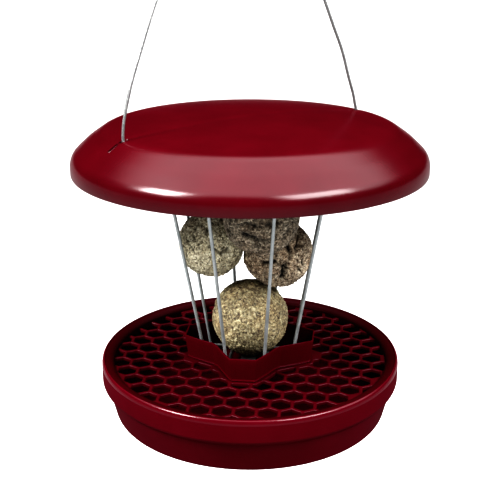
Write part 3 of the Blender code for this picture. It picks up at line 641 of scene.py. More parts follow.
roofLook = {
    "low": rimZ + 0.1577,
    "wall": 0.0025,
    "skirtHeight": 0.0125,
    "browOut": 0.1120,  # where the dome meets the slope, from the axis and over the skirt's edge
    "browHigh": 0.0348,
    "slopeBulge": 0.0013,
    "domeRise": 0.0067,
    "skirtRound": 0.0155,
    "slopeRound": 0.0500,
    "topRound": 0.0220,
    "creaseDepth": 0.0006,
    "creaseHalfWidth": 0.0035,
    "boreRadius": 0.0024,
    "slotRadius": 0.0017,
    "slotDepth": 0.0024,
    "slotStart": 0.1095,  # from the axis
    "slotEnd": 0.1208,
    "creaseFade": 0.104,  # from the axis, where the crease starts to run out
    "creaseFadeLength": 0.016,
    "guideOut": 0.0064,
    "guideLow": rimZ + 0.1712,
    "guideHigh": 0.0330,  # over the skirt's edge, into the dome
    "ribHalfWidth": 0.0014,
    "ribLow": 0.0265,
    "ribSink": 0.0020,  # of its top under the dome's upper side
    "ribShort": 0.005,  # of the cable's hole
    "sides": 512,
}
roofLow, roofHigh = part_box("roof")
roofRadius = (roofHigh.x - roofLow.x) / 2 - 0.00002


def roofOutline(domeSteps=44):
    low = roofLook["low"]
    brow = Vector((roofLook["browOut"], low + roofLook["browHigh"]))
    meet = Vector((roofRadius, low + roofLook["skirtHeight"]))
    along = (meet - brow).normalized()
    belly = (brow + meet) / 2 + roofLook["slopeBulge"] * Vector((-along.y, along.x))
    dome = [Vector((brow.x * step / domeSteps,
                    brow.y + roofLook["domeRise"] * (1 - (step / domeSteps) ** 2)))
            for step in range(domeSteps)]
    # The dome's last stretch is one straight side, so that the brow's arc has its whole radius
    dome = [point for point in dome if point.x < brow.x * 0.84]
    last = len(dome)
    rounds = {last: roofLook["topRound"], last + 1: roofLook["slopeRound"],
              last + 2: roofLook["skirtRound"]}
    return roundedLine([*dome, brow, belly, meet, Vector((roofRadius, low))], rounds, 12)


def makeRoof():
    outer = roofOutline()
    inner = offsetLoop(outer, roofLook["wall"], False)
    inner[0].x = 0.0
    inner[-1].y = roofLook["low"]
    lip = [outer[-1] + Vector((0, 0.0009)), outer[-1] + Vector((-0.00026, 0.00026)),
           outer[-1] - Vector((0.0009, 0)), inner[-1] + Vector((0.0006, 0)),
           inner[-1] + Vector((0.00017, 0.00017)), inner[-1] + Vector((0, 0.0006))]
    under = [point for number, point in enumerate(reversed(inner[:-1]))
             if point.x > 0.09 or number % 4 == 0 or point.x == 0.0]
    profile = [*outer[:-1], *lip, *under]
    shown = len(outer)
    sides = roofLook["sides"]
    roof = lathe("roof_shell", profile, sides, roofPlastic, closed=False, turn=armTurn)
    # Shallow crease across the dome, through both holes
    count = len(roof.data.vertices)
    places = np.zeros(count * 3)
    roof.data.vertices.foreach_get("co", places)
    places = places.reshape(-1, 3)
    top = np.zeros(count, bool)
    top[:(shown - 1) * sides] = True
    top[-2] = True
    off = np.abs(-math.sin(armTurn) * places[:, 0] + math.cos(armTurn) * places[:, 1])
    out = np.hypot(places[:, 0], places[:, 1])
    fade = 1 - np.clip((out - roofLook["creaseFade"]) / roofLook["creaseFadeLength"], 0, 1)
    sunk = roofLook["creaseDepth"] * np.exp(-(off / roofLook["creaseHalfWidth"]) ** 2) * fade
    places[:, 2] -= np.where(top, sunk, 0.0)
    roof.data.vertices.foreach_set("co", places.ravel())
    roof.data.update()

    cutters = []
    hole, bore = cableLook["holeZ"], roofLook["boreRadius"]
    for side in (-1, 1):
        out = side * cableLook["out"]
        cutters.append(drill("bore", bore, 0.03, hangerPoint(out, hole - 0.009)))
        cutters.append(drill("mouth", bore, 0.0024, hangerPoint(out, hole + 0.0005), 32, bore + 0.0012))
        # Short slot from the hole out over the brow
        path = []
        for step in range(12):
            reach = roofLook["slotStart"] + (roofLook["slotEnd"] - roofLook["slotStart"]) * step / 11
            near = next(n for n, point in enumerate(outer) if point.x > reach)
            low, high = outer[near - 1], outer[near]
            height = low.y + (high.y - low.y) * (reach - low.x) / (high.x - low.x)
            deep = roofLook["slotDepth"] - roofLook["slotRadius"]
            path.append(hangerPoint(side * reach, height - deep))
        path.append(path[-1] + (path[-1] - path[-2]) + Vector((0, 0, 0.0012)))
        rings = tubeRings(path, lambda angle, far: roofLook["slotRadius"], 12)
        points, faces = loft(rings, closedEnds=True)
        cutters.append(addMesh("slot", points, faces, roofPlastic))
    cut(roof, cutters)

    # Guides for the cable and the rib between them, under the dome
    guideLow, guideOut = roofLook["guideLow"], roofLook["guideOut"]
    high = roofLook["low"] + roofLook["guideHigh"]
    guide = ((bore, high), (guideOut - 0.0005, high), (guideOut, guideLow + 0.0006),
             (guideOut - 0.0004, guideLow), (bore + 0.0005, guideLow), (bore, guideLow + 0.0005))
    extra = []
    for side in (-1, 1):
        rings = []
        for radius, z in guide:
            centre = hangerPoint(side * cableLook["out"], z)
            rings.append([centre + polar(radius, 2 * math.pi * step / 32) for step in range(32)])
        points, faces = loft(rings, wrap=True)
        extra.append(addMesh("guide", points, faces, roofPlastic))
    reach = cableLook["out"] - roofLook["ribShort"]
    stretches = 30
    low = roofLook["low"] + roofLook["ribLow"]
    shape = bmesh.new()
    for step in range(stretches + 1):
        along = -reach + 2 * reach * step / stretches
        share = along / roofLook["browOut"]
        high = (roofLook["low"] + roofLook["browHigh"] - roofLook["ribSink"]
                + roofLook["domeRise"] * (1 - share ** 2))
        for side in (-1, 1):
            place = (hangerPoint(along, 0.0)
                     + polar(side * roofLook["ribHalfWidth"], armTurn + math.pi / 2))
            shape.verts.new((place.x, place.y, low))
            shape.verts.new((place.x, place.y, high))
    shape.verts.ensure_lookup_table()
    for step in range(stretches):
        a = 4 * step
        for first, second in ((0, 1), (1, 3), (3, 2), (2, 0)):
            shape.faces.new([shape.verts[a + first], shape.verts[a + second],
                             shape.verts[a + 4 + second], shape.verts[a + 4 + first]])
    for a in (0, 4 * stretches):
        shape.faces.new([shape.verts[a + n] for n in (0, 1, 3, 2)])
    extra.append(shapeObject("rib", shape))
    join([roof, *(turnOutwards(obj) for obj in extra)])
    softEdges(roof, 38.0)
    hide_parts("roof")
    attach(roof, "roof")
    return roof


roof = makeRoof()
say("roof")


# Seed tray

trayLook = {
    "depth": 0.0480,
    "wall": 0.0024,
    "band": 0.0185,
    "shoulderHeight": 0.0040,
    "shoulderWidth": 0.0038,
    "seat": 0.0131,  # below the rim, where the grid's skirt stands
    "groove": 0.0008,
    "taper": 0.0060,
    "rimWide": 0.0022,
    "rimHigh": 0.0042,
    "baseRound": 0.0045,
    "footWidth": 0.0090,
    "footHeight": 0.0015,
    "pillar": 0.0125,
    "pillarHigh": -0.0106,
    "recess": 0.0092,  # round the bolt's head, under the pillar
    "recessHigh": 0.0060,
    "boltHole": 0.0028,
    "sides": 320,
}


def makeTray():
    low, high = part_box("seed_tray")
    radius = (high.x - low.x) / 2 - 0.00002
    depth, wall = trayLook["depth"], trayLook["wall"]
    lowOut = radius - trayLook["shoulderWidth"] - trayLook["groove"]
    baseOut = lowOut - trayLook["taper"]
    footIn = baseOut - trayLook["baseRound"] - trayLook["footWidth"]
    under = trayLook["footHeight"] - depth
    shoulder = -trayLook["band"] - trayLook["shoulderHeight"]
    seat = -trayLook["seat"]
    floor = under + wall
    hole, recess = trayLook["boltHole"], trayLook["recess"]
    recessHigh, pillarHigh = under + trayLook["recessHigh"], trayLook["pillarHigh"]
    rimTurns = [math.radians(angle) for angle in range(0, 91, 10)]
    rim = [(radius - trayLook["rimWide"] * (1 - math.sin(turn)),
            -trayLook["rimHigh"] * (1 - math.cos(turn))) for turn in rimTurns]
    line = [
        (radius - wall, -0.0001), *rim, (radius, -trayLook["band"]),
        (radius - trayLook["shoulderWidth"], shoulder), (lowOut, shoulder - trayLook["groove"]),
        (baseOut, -depth), (footIn, -depth), (footIn - trayLook["footHeight"], under),
        (recess, under), (recess, recessHigh), (hole, recessHigh), (hole, pillarHigh),
        (trayLook["pillar"], pillarHigh), (trayLook["pillar"], floor), (baseOut - wall, floor),
        (lowOut - wall, seat - trayLook["groove"]), (lowOut - wall + trayLook["groove"], seat),
        (radius - wall, seat),
    ]
    band = len(rim) + 1
    # Corners counted from the band's lower edge: the shoulder, the foot, then the pillar and inside
    radii = {0: 0.0040, 1: 0.0006, 2: 0.0004, 3: trayLook["baseRound"], 4: 0.0006,
             10: 0.0008, 11: wall, 12: trayLook["baseRound"]}
    radii = {band + corner: size for corner, size in radii.items()}
    line = [(x, rimZ + y) for x, y in line]
    tray = lathe("seed_tray_bowl", roundedLine(line, radii, 7), trayLook["sides"], plastic)
    softEdges(tray, 40.0)
    tray.data.materials.append(insidePlastic)
    tray.data.materials.append(edgePlastic)
    # Painted shade: the tray's inner walls and floor take the darker inside material
    lineInside(tray, 0.0025 - depth, -0.006, 0.0025 - depth, -0.006)
    for face in tray.data.polygons:
        if face.center.z - rimZ > -trayLook["rimHigh"] - 0.0003:
            face.material_index = 2
    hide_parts("seed_tray")
    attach(tray, "feeder")
    return tray


tray = makeTray()
say("tray")


# Perch grid: the honeycomb's outlines are read from the CAD solid's upper face

gridLook = {
    "top": rimZ - 0.0050,
    "depth": 0.0034,
    "edge": 0.0008,  # round on every edge of the web
    "cornerRound": 0.0020,
    "lipWidth": 0.0076,
    "lipDrop": 0.0004,
    "lipStep": 0.0004,
    "lipOverlap": 0.0025,  # of the web under the lip
    "skirtLow": rimZ - 0.0128,
    "skirtWall": 0.0020,
    "leastOpening": 6e-6,  # square metres
    "sides": 320,
}


# Closed outlines of the flat face of a CAD solid at a height
def topLoops(node, z):
    shape = bmesh.new()
    shape.from_mesh(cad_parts[node].data)
    bmesh.ops.remove_doubles(shape, verts=shape.verts, dist=2e-6)
    flat = {face for face in shape.faces
            if face.normal.z > 0.99 and abs(face.calc_center_median().z - z) < 1e-4}
    following = {}
    for edge in shape.edges:
        ours = [face for face in edge.link_faces if face in flat]
        if len(ours) == 1:
            for loop in ours[0].loops:
                if loop.edge == edge:
                    following.setdefault(loop.vert, []).append(loop.link_loop_next.vert)
    loops = []
    while following:
        start = next(iter(following))
        loop, here = [], start
        while here in following:
            loop.append(here.co.to_2d())
            choices = following[here]
            after = choices.pop()
            if not choices:
                del following[here]
            here = after
        if len(loop) > 2:
            loops.append(loop)
    shape.free()
    return loops


def loopArea(loop):
    return sum(a.x * b.y - b.x * a.y for a, b in zip(loop, loop[1:] + loop[:1])) / 2


# The loop without points that lie on a straight side or almost on the one before
def merged(loop, least=0.0002):
    kept = []
    for point in loop:
        if not kept or (point - kept[-1]).length > least:
            kept.append(point)
    while len(kept) > 3 and (kept[0] - kept[-1]).length <= least:
        kept.pop()
    found = []
    for number, point in enumerate(kept):
        before, after = kept[number - 1], kept[(number + 1) % len(kept)]
        if (point - before).angle(after - point, 0.0) > math.radians(1.0):
            found.append(point)
    return found


# The outline moved to the left of its direction, into the material. A sharp corner moves less
def insetLoop(points, distance):
    found = []
    count = len(points)
    for number, point in enumerate(points):
        before = (point - points[number - 1]).normalized()
        after = (points[(number + 1) % count] - point).normalized()
        middle = Vector((-before.y - after.y, before.x + after.x))
        if middle.length < 0.1:
            middle = Vector((-before.y, before.x))
        middle.normalize()
        lean = max(0.7, middle.dot(Vector((-before.y, before.x))))
        found.append(point + middle * distance / lean)
    return found


# A plate with holes whose edges are rounded above and below. The outlines have the material on
# their left
def roundedPlate(name, outlines, low, high, edge, material):
    flat = filledMesh(name, [insetLoop(outline, edge) for outline in outlines])
    points, faces = [], []
    for z, ahead in ((high, True), (low, False)):
        start = len(points)
        points += [Vector((vert.co.x, vert.co.y, z)) for vert in flat.vertices]
        for face in flat.polygons:
            corners = [start + corner for corner in face.vertices]
            if (face.normal.z > 0) != ahead:
                corners.reverse()
            faces.append(corners)
    for outline in outlines:
        rings = []
        for z, down in ((high, -1.0), (low, 1.0)):
            turns = [math.radians(angle) for angle in (0, 30, 60, 90)]
            rows = [[Vector((*spot, z + down * edge * (1 - math.cos(turn))))
                     for spot in insetLoop(outline, edge * (1 - math.sin(turn)))]
                    for turn in turns]
            rings += rows if down < 0 else rows[::-1]
        wall, sides = loft(rings)
        start = len(points)
        points += wall
        faces += [[start + corner for corner in side] for side in sides]
    return turnOutwards(addMesh(name, points, faces, material), 2e-6)


def makeGrid():
    low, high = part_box("perch_grid")
    skirtOut = (high.x - low.x) / 2 - 0.00008
    web = skirtOut - gridLook["lipWidth"]
    top, depth, edge = gridLook["top"], gridLook["depth"], gridLook["edge"]
    loops = topLoops("perch_grid", top)
    loops.sort(key=lambda loop: -abs(loopArea(loop)))
    outlines = []
    for number, loop in enumerate(loops):
        loop = merged(loop)
        if len(loop) < 3 or abs(loopArea(loop)) < gridLook["leastOpening"]:
            continue
        if number == 0:
            outlines.append([point * (1 + 0.0008 / web) if point.length > web - 0.0006 else point
                             for point in loop])
        else:
            # The second largest is the socket's hole, whose corners stay crisp
            corner = gridLook["cornerRound"] if number > 1 else 0.0006
            outlines.append(roundedLoop(loop, corner))
    grid = roundedPlate("perch_grid_web", outlines, top - depth, top, edge, perchPlastic)

    bottom = gridLook["skirtLow"]
    wallIn = skirtOut - gridLook["skirtWall"]
    crest = rimZ - gridLook["lipDrop"]
    under = web + gridLook["lipOverlap"]
    lip = [(skirtOut, bottom), (wallIn, bottom), (wallIn, top), (under, top - 0.0010),
           (under, top - depth), (web, top - depth)]
    for angle in range(90, -1, -10):
        turn = math.radians(angle)
        lip.append((skirtOut - gridLook["lipWidth"] * math.sin(turn),
                    crest - (crest - top - gridLook["lipStep"]) * (1 - math.cos(turn))))
    # The lip takes the darker lip material, a painted shade
    ring = lathe("lip", lip, gridLook["sides"], lipPlastic)
    for face in ring.data.polygons:
        face.material_index = 1
    grid.data.materials.append(lipPlastic)
    join([grid, ring])
    softEdges(grid, 40.0)
    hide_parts("perch_grid")
    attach(grid, "feeder")
    say(f"grid with {len(outlines) - 1} openings")
    return grid


grid = makeGrid()


# Socket with four lobes

socketLook = {
    "height": 0.0155,
    "wall": 0.0014,
    "draft": 0.14,
    "lobeReach": 0.0537,
    "lobeHalfWidth": 0.0109,
    "valley": 0.0381,
    "valleyHalfWidth": 0.0024,
    "corner": 0.0011,
    "rimRound": 0.00045,
    "ledge": 0.0006,
    "ledgeLow": -0.0050 + 0.0003,
    "ledgeThickness": 0.0009,
    "boltHole": 0.0028,
    "drainOut": 0.0240,
    "drainRadius": 0.0030,
}
cageLook = {
    "wireRadius": 0.00140,
    "lowRadius": 0.03757,
    "highRadius": 0.06998,
    "low": -0.0086,
    "high": 0.1677,
    "floorHigh": -0.0009,  # upper pair of floor wires
    "ringRadius": 0.0020,  # of the ring's wire
    "weldRadius": 0.0013,
    "trim": 0.00001,  # so that no wire stands out of its solid
}


def wireCircle(height):
    share = (height - cageLook["low"]) / (cageLook["high"] - cageLook["low"])
    return cageLook["lowRadius"] + share * (cageLook["highRadius"] - cageLook["lowRadius"])


# The socket's outline at a height over the rim, moved outwards by out
def socketLine(height, out=0.0):
    room = cageLook["wireRadius"] + fitGap + 0.0004 + socketLook["wall"]
    bend = polar(wireCircle(socketLook["height"]) + 1.24 * room, math.pi / 8).to_2d()
    valley = Matrix.Rotation(math.pi / 4, 2) @ Vector((socketLook["valley"],
                                                       -socketLook["valleyHalfWidth"]))
    reach, half = socketLook["lobeReach"], socketLook["lobeHalfWidth"]
    lobe = [Vector((reach, -half)), Vector((reach, half)), bend, valley,
            Vector((valley.y, valley.x)), Vector((bend.y, bend.x))]
    outline = [Matrix.Rotation(quarter * math.pi / 2, 2) @ point
               for quarter in range(4) for point in lobe]
    return offsetLoop(outline, out - socketLook["draft"] * (socketLook["height"] - height))


def socketRing(height, out=0.0, steps=4):
    line = socketLine(height, out)
    count = len(line)
    found = []
    for number, point in enumerate(line):
        found += arcCorner(line[number - 1], point, line[(number + 1) % count],
                           socketLook["corner"], steps)
    return [Vector((*(Matrix.Rotation(baseTurn, 2) @ point), rimZ + height)) for point in found]


def makeSocket():
    high, wall, rim = socketLook["height"], socketLook["wall"], socketLook["rimRound"]
    floor = cageLook["low"] - fitGap
    ledge, ledgeLow = socketLook["ledge"], socketLook["ledgeLow"]
    ledgeHigh = ledgeLow + socketLook["ledgeThickness"]
    slope = socketLook["draft"]
    # Height and way out, from the floor's underside up the outside, over the rim and down inside
    rows = [(floor - wall, 0.0), (ledgeLow, 0.0), (ledgeLow, ledge - 0.0002),
            (ledgeLow + 0.0003, ledge), (ledgeHigh - 0.0003, ledge - slope * 0.0006),
            (ledgeHigh, ledge - 0.0004), (ledgeHigh + 0.0002, 0.0003), (ledgeHigh + 0.0006, 0.0)]
    for step in range(5):
        rows.append((ledgeHigh + 0.0006 + (high - rim - ledgeHigh - 0.0006) * (step + 1) / 5, 0.0))
    for step in range(1, 4):
        angle = step * math.pi / 6
        rows.append((high - rim + rim * math.sin(angle), -rim * (1 - math.cos(angle))))
    for step in range(1, 4):
        angle = math.pi / 2 + step * math.pi / 6
        rows.append((high - rim + rim * math.sin(angle), -wall + rim * (1 + math.cos(angle))))
    rows += [(floor + 0.004, -wall), (floor + 0.0009, -wall), (floor + 0.00026, -wall - 0.00026),
             (floor, -wall - 0.0009)]
    rings = [socketRing(height, out) for height, out in rows]
    points, faces = loft(rings, closedEnds=True)
    socket = turnOutwards(addMesh("cage_socket_shell", points, faces, plastic))
    through = 0.008
    holes = [drill("bolt_hole", socketLook["boltHole"], through, Vector((0, 0, rimZ + floor)))]
    for quarter in range(4):
        angle = (quarter + 0.5) * math.pi / 2 + baseTurn
        place = polar(socketLook["drainOut"], angle, rimZ + floor)
        holes.append(drill("drain", socketLook["drainRadius"], through, place))
    cut(socket, holes)
    softEdges(socket, 33.0)
    socket.data.materials.append(insidePlastic)
    # Painted shade: the socket's inside takes the darker inside material
    lineInside(socket, -math.inf, high - 0.0012, -math.inf, -0.006)
    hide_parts("cage_socket")
    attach(socket, "feeder")
    return socket


socket = makeSocket()
say("socket")


# Cage


rodLook = {
    "easeShare": 0.35,  # of the radius, at a cut end
    "drift": 0.00006,
    "unevenness": 0.012,
    "stretches": 24,
}


# A cut wire with eased ends and the small bends that a drawn wire keeps
def rod(name, start, end, radius, material, node, sides=20):
    along = (end - start).normalized()
    length = (end - start).length
    side = along.orthogonal().normalized()
    ease, stretches = radius * rodLook["easeShare"], rodLook["stretches"]
    stations = [0.0, ease * 0.4, ease]
    stations += [ease + (length - 2 * ease) * step / stretches for step in range(1, stretches)]
    stations += [length - ease, length - ease * 0.4, length]
    points = []
    for far in stations:
        bend = math.sin(far * 61 + start.x * 900) * math.sin(math.pi * far / length)
        points.append(start + along * far + side * rodLook["drift"] * bend)

    def radiusAt(angle, far):
        end = min(far, length - far)
        trimmed = radius - max(0.0, ease - end) * 0.7
        return trimmed * (1 - rodLook["unevenness"] * (1 + math.sin(far * 900 + 3 * angle)) / 2)

    found, faces = loft(tubeRings(points, radiusAt, sides), closedEnds=True)
    obj = addMesh(name, found, faces, material)
    softEdges(obj, 45.0)
    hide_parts(node)
    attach(obj, "feeder")
    return obj


def wirePoint(number, height):
    angle = (number + 0.5) * math.pi / 4 + baseTurn
    return polar(wireCircle(height), angle, rimZ + height)


def makeCage():
    radius = cageLook["wireRadius"]
    for number in range(8):
        rod(f"wire_{number + 1}", wirePoint(number, cageLook["low"]),
            wirePoint(number, cageLook["high"]), radius - cageLook["trim"], wireMetal,
            f"cage_wire_{number + 1}")
    upper = cageLook["floorHigh"]
    lower = upper - 2 * radius - fitGap
    # The floor wires take the dark wire material, a painted shade
    for number, (first, second, height) in enumerate(
            ((1, 6, upper), (2, 5, upper), (0, 3, lower), (7, 4, lower))):
        a, b = wirePoint(first, height), wirePoint(second, height)
        short = (b - a).normalized() * (radius + fitGap)
        rod(f"floor_wire_{number + 1}", a + short, b - short, radius - cageLook["trim"], shadedWire,
            f"cage_floor_wire_{number + 1}", 16)

    ringRadius = cageLook["ringRadius"]
    ringHeight = cageLook["high"] - ringRadius / 2
    out = wireCircle(ringHeight) + radius + ringRadius + fitGap
    count, sides = 160, 20
    rings = []
    for step in range(count):
        angle = 2 * math.pi * step / count
        centre = polar(out, angle, rimZ + ringHeight)
        side = polar(1.0, angle)
        turns = [2 * math.pi * k / sides for k in range(sides)]
        rings.append([centre + (ringRadius - 2 * cageLook["trim"])
                      * (math.cos(turn) * side + Vector((0, 0, math.sin(turn)))) for turn in turns])
    points, faces = loft(rings, wrap=True)
    pieces = [addMesh("top_ring", points, faces, wireMetal)]
    # A small bead of weld where each wire meets the ring
    for number in range(8):
        angle = (number + 0.5) * math.pi / 4 + baseTurn
        shape = bmesh.new()
        bmesh.ops.create_icosphere(shape, subdivisions=3, radius=cageLook["weldRadius"])
        for vert in shape.verts:
            vert.co *= 1 + 0.18 * noise.noise(vert.co * 900 + Vector((number, 0, 0)))
            vert.co.z *= 0.8
        weld = shapeObject("weld", shape)
        weld.data.shade_smooth()
        weld.location = wirePoint(number, ringHeight) + polar(radius + 0.0002, angle)
        pieces.append(weld)
    bpy.context.view_layer.update()
    ring = join(pieces)
    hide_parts("cage_top_ring")
    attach(ring, "feeder")


makeCage()
say("cage")


# Arms and ferrules under the roof, and the fastening below the cage

armLook = {"thickness": 0.0020, "width": 0.0140, "inside": 0.0040, "pastHole": 0.0075,
           "holeRadius": 0.0017, "edge": 0.0004}
ferruleLook = {"radius": 0.00338, "marks": (0.25, 0.5, 0.75), "markWidth": 0.0008, "markDepth": 0.0005}


def makeArm(name, turn):
    low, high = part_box(f"hanger_arm_{name}")
    side, edge = armLook["width"] / 2, armLook["edge"]
    inside = wireCircle(cageLook["high"]) - armLook["inside"]
    nose = cableLook["out"] + armLook["pastHole"] - side
    line = [Vector((inside, side)), Vector((inside, -side))]
    line += [Vector((nose, 0)) + polar(side, math.pi * k / 24).to_2d() for k in range(-12, 13)]
    centre = Vector((cableLook["out"], 0))
    hole = [centre + polar(armLook["holeRadius"], 2 * math.pi * k / 32).to_2d() for k in range(32)]
    mesh = filledMesh("arm", (line, hole), extrude=armLook["thickness"] / 2 - edge,
                      bevel_depth=edge, bevel_resolution=2, offset=-edge)
    mesh.materials.clear()
    mesh.materials.append(platedMetal)
    arm = newObject(f"arm_{name}", mesh)
    arm.location.z = (low.z + high.z) / 2
    arm.rotation_euler.z = armTurn + turn
    softEdges(arm, 40.0)
    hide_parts(f"hanger_arm_{name}")
    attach(arm, "feeder")


def makeFerrule(name, turn):
    low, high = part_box(f"cable_ferrule_{name}")
    length = high.z - low.z
    radius = ferruleLook["radius"]
    bore = cableLook["radius"] + fitGap
    centre = hangerPoint(cableLook["out"] * math.cos(turn), 0.0)
    profile = [(bore, 0.0), (radius - 0.0006, 0.0), (radius - 0.0002, 0.0002), (radius, 0.0006)]
    profile += [(radius, length * step / 30) for step in range(2, 29)]
    profile += [(radius, length - 0.0006), (radius - 0.0002, length - 0.0002),
                (radius - 0.0006, length), (bore, length)]
    rings = []
    for reach, far in profile:
        # Pressed marks where the tool closed it
        press = max(math.exp(-((far - mark * length) / ferruleLook["markWidth"]) ** 2)
                    for mark in ferruleLook["marks"])
        ring = []
        for step in range(48):
            angle = 2 * math.pi * step / 48
            dent = ferruleLook["markDepth"] * press * (0.6 + 0.4 * math.cos(2 * angle))
            dent = dent if reach > bore else 0.0
            ring.append(centre + polar(reach - dent, angle, low.z + far))
        rings.append(ring)
    points, faces = loft(rings, wrap=True)
    ferrule = addMesh(f"ferrule_{name}", points, faces, platedMetal)
    softEdges(ferrule, 45.0)
    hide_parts(f"cable_ferrule_{name}")
    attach(ferrule, "feeder")


for name, turn in (("right", 0.0), ("left", math.pi)):
    makeArm(name, turn)
    makeFerrule(name, turn)
for name in ("cage_floor_clamp", "clamp_nut", "tray_bolt", "bolt_washer"):
    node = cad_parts[name]
    # The floor clamp takes the dark wire material, a painted shade
    for number in range(len(node.material_slots)):
        node.material_slots[number].material = (shadedWire if name == "cage_floor_clamp"
                                                else platedMetal)
say("arms, ferrules and fastening")


# Suet balls. Each is fitted to its CAD solid, then pressed and cracked.

seedLook = {  # how many a metre, and how deep
    "lumps": 48,
    "lumpDepth": 0.0011,
    "seeds": 600,
    "seedDepth": 0.0011,
    "crumbs": 900,
    "crumbDepth": 0.0004,
    "mostRise": 0.0007,  # over the ball's own radius
    # share of the painted shade between the seeds
    "seedGapPaintedShade": 0.55,
    "detail": 6,  # times that the ball's faces are split
}

# Seams are planes that lower one side. Cracks are drawn as seen from the front, in shares of the
# ball's radius to the right and up, and end with their width and depth.
# Each ball also sets how strong the painted shade is between its seeds and in its cracks
ballLooks = [
    {  # bottom: two halves pressed together, the front one a little proud
        "seams": [((0.696, -0.718, -0.015), 0.09, 0.0009)],
        "cracks": [(((-0.58, -0.42), (-0.66, -0.08), (-0.55, 0.25), (-0.31, 0.53), (0.02, 0.76),
                     (0.34, 0.86)), 0.034, 0.0019),
                   (((0.44, 0.17), (0.66, 0.23), (0.88, 0.30)), 0.022, 0.0015),
                   (((0.55, -0.02), (0.78, -0.10), (0.90, -0.22)), 0.020, 0.0012),
                   (((0.52, 0.74), (0.74, 0.55), (0.86, 0.36)), 0.026, 0.0014)],
        "seed": 3, "rough": 1.0, "seedGapShade": 0.8, "crackShade": 0.6,
    },
    {  # right: split down its middle
        "seams": [((0.80, -0.50, 0.33), 0.10, 0.0008)],
        "cracks": [(((0.22, 0.30), (0.38, -0.05), (0.20, -0.40), (0.08, -0.80)), 0.085, 0.0042),
                   (((0.60, 0.55), (0.52, 0.10), (0.74, -0.35)), 0.055, 0.0032),
                   (((-0.50, -0.28), (-0.15, -0.26), (0.30, -0.46)), 0.070, 0.0034),
                   (((0.45, -0.30), (0.62, -0.55)), 0.055, 0.0026)],
        "seed": 11, "rough": 1.3, "seedGapShade": 1.2, "crackShade": 1.1,
    },
    {  # left
        "seams": [((-0.86, 0.44, -0.26), 0.44, 0.0010)],
        "cracks": [(((-0.30, 0.62), (-0.50, 0.25), (-0.36, -0.12)), 0.034, 0.0020),
                   (((-0.10, 0.40), (-0.04, -0.16), (0.26, -0.32), (0.56, -0.18)), 0.044, 0.0026),
                   (((-0.70, 0.05), (-0.55, -0.30)), 0.032, 0.0018)],
        "seed": 23, "rough": 1.1, "seedGapShade": 0.9, "crackShade": 0.9,
    },
    {  # top
        "seams": [],
        "cracks": [(((-0.88, -0.40), (-0.54, -0.50), (-0.16, -0.58), (0.05, -0.70)), 0.072, 0.0036),
                   (((0.42, -0.86), (0.62, -0.64), (0.74, -0.36)), 0.050, 0.0028),
                   (((-0.40, -0.20), (0.05, -0.30), (0.40, -0.24)), 0.064, 0.0032)],
        "seed": 37, "rough": 1.15, "seedGapShade": 1.1, "crackShade": 1.0,
    },
]


# Direction from a ball's centre to a point of its front
def facing(across, up):
    near = math.sqrt(max(0.0, 1 - across ** 2 - up ** 2))
    return np.array((across, up * math.sin(viewTilt) - near * math.cos(viewTilt),
                     up * math.cos(viewTilt) + near * math.sin(viewTilt)))


# Distance of each place from a path of straight stretches
def pathGap(places, path):
    least = np.full(len(places), 9.0)
    for start, end in zip(path, path[1:]):
        along = end - start
        share = np.clip((places - start) @ along / (along @ along), 0, 1)
        gap = np.linalg.norm(places - start - share[:, None] * along, axis=1)
        least = np.minimum(least, gap)
    return least


# Centre and radius of the sphere through most of a CAD ball's points
def fittedBall(node):
    places = np.array([vert.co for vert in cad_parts[node].data.vertices])
    keep = np.ones(len(places), bool)
    for _ in range(6):
        rows = np.c_[2 * places[keep], np.ones(keep.sum())]
        found = np.linalg.lstsq(rows, (places[keep] ** 2).sum(1), rcond=None)[0]
        centre = found[:3]
        radius = math.sqrt(found[3] + centre @ centre)
        keep = np.abs(np.linalg.norm(places - centre, axis=1) - radius) < 0.0005
    return Vector(centre), float(np.linalg.norm(places - centre, axis=1).max())


# How far out a ball reaches towards its neighbour before it is flat
def ballLevel(distance, radius, otherRadius):
    middle = (distance ** 2 + radius ** 2 - otherRadius ** 2) / (2 * distance)
    return min(radius + seedLook["mostRise"], middle - 0.0002)


# Where the other balls lean on this one: the way to each, and how far out the flat is
def flatsOf(centre, radius, fits):
    flats = []
    for other, otherRadius in fits:
        gap = other - centre
        if 0 < gap.length < radius + otherRadius:
            flats.append((gap.normalized(), ballLevel(gap.length, radius, otherRadius)))
    return flats


# Pressed in where a wire runs
def pressByWires(places, ways, wires):
    for start, end in wires:
        along = np.array((end - start).normalized())
        for _ in range(2):
            off = places - np.array(start)
            side = off - (off @ along)[:, None] * along
            gap = np.linalg.norm(side, axis=1)
            press = np.maximum(0.0, cageLook["wireRadius"] + 0.00015 - gap)
            places -= ways * (press * 1.2)[:, None]


noiseSeed = 1796037655  # any number but 0, which would seed the vector noise from the clock


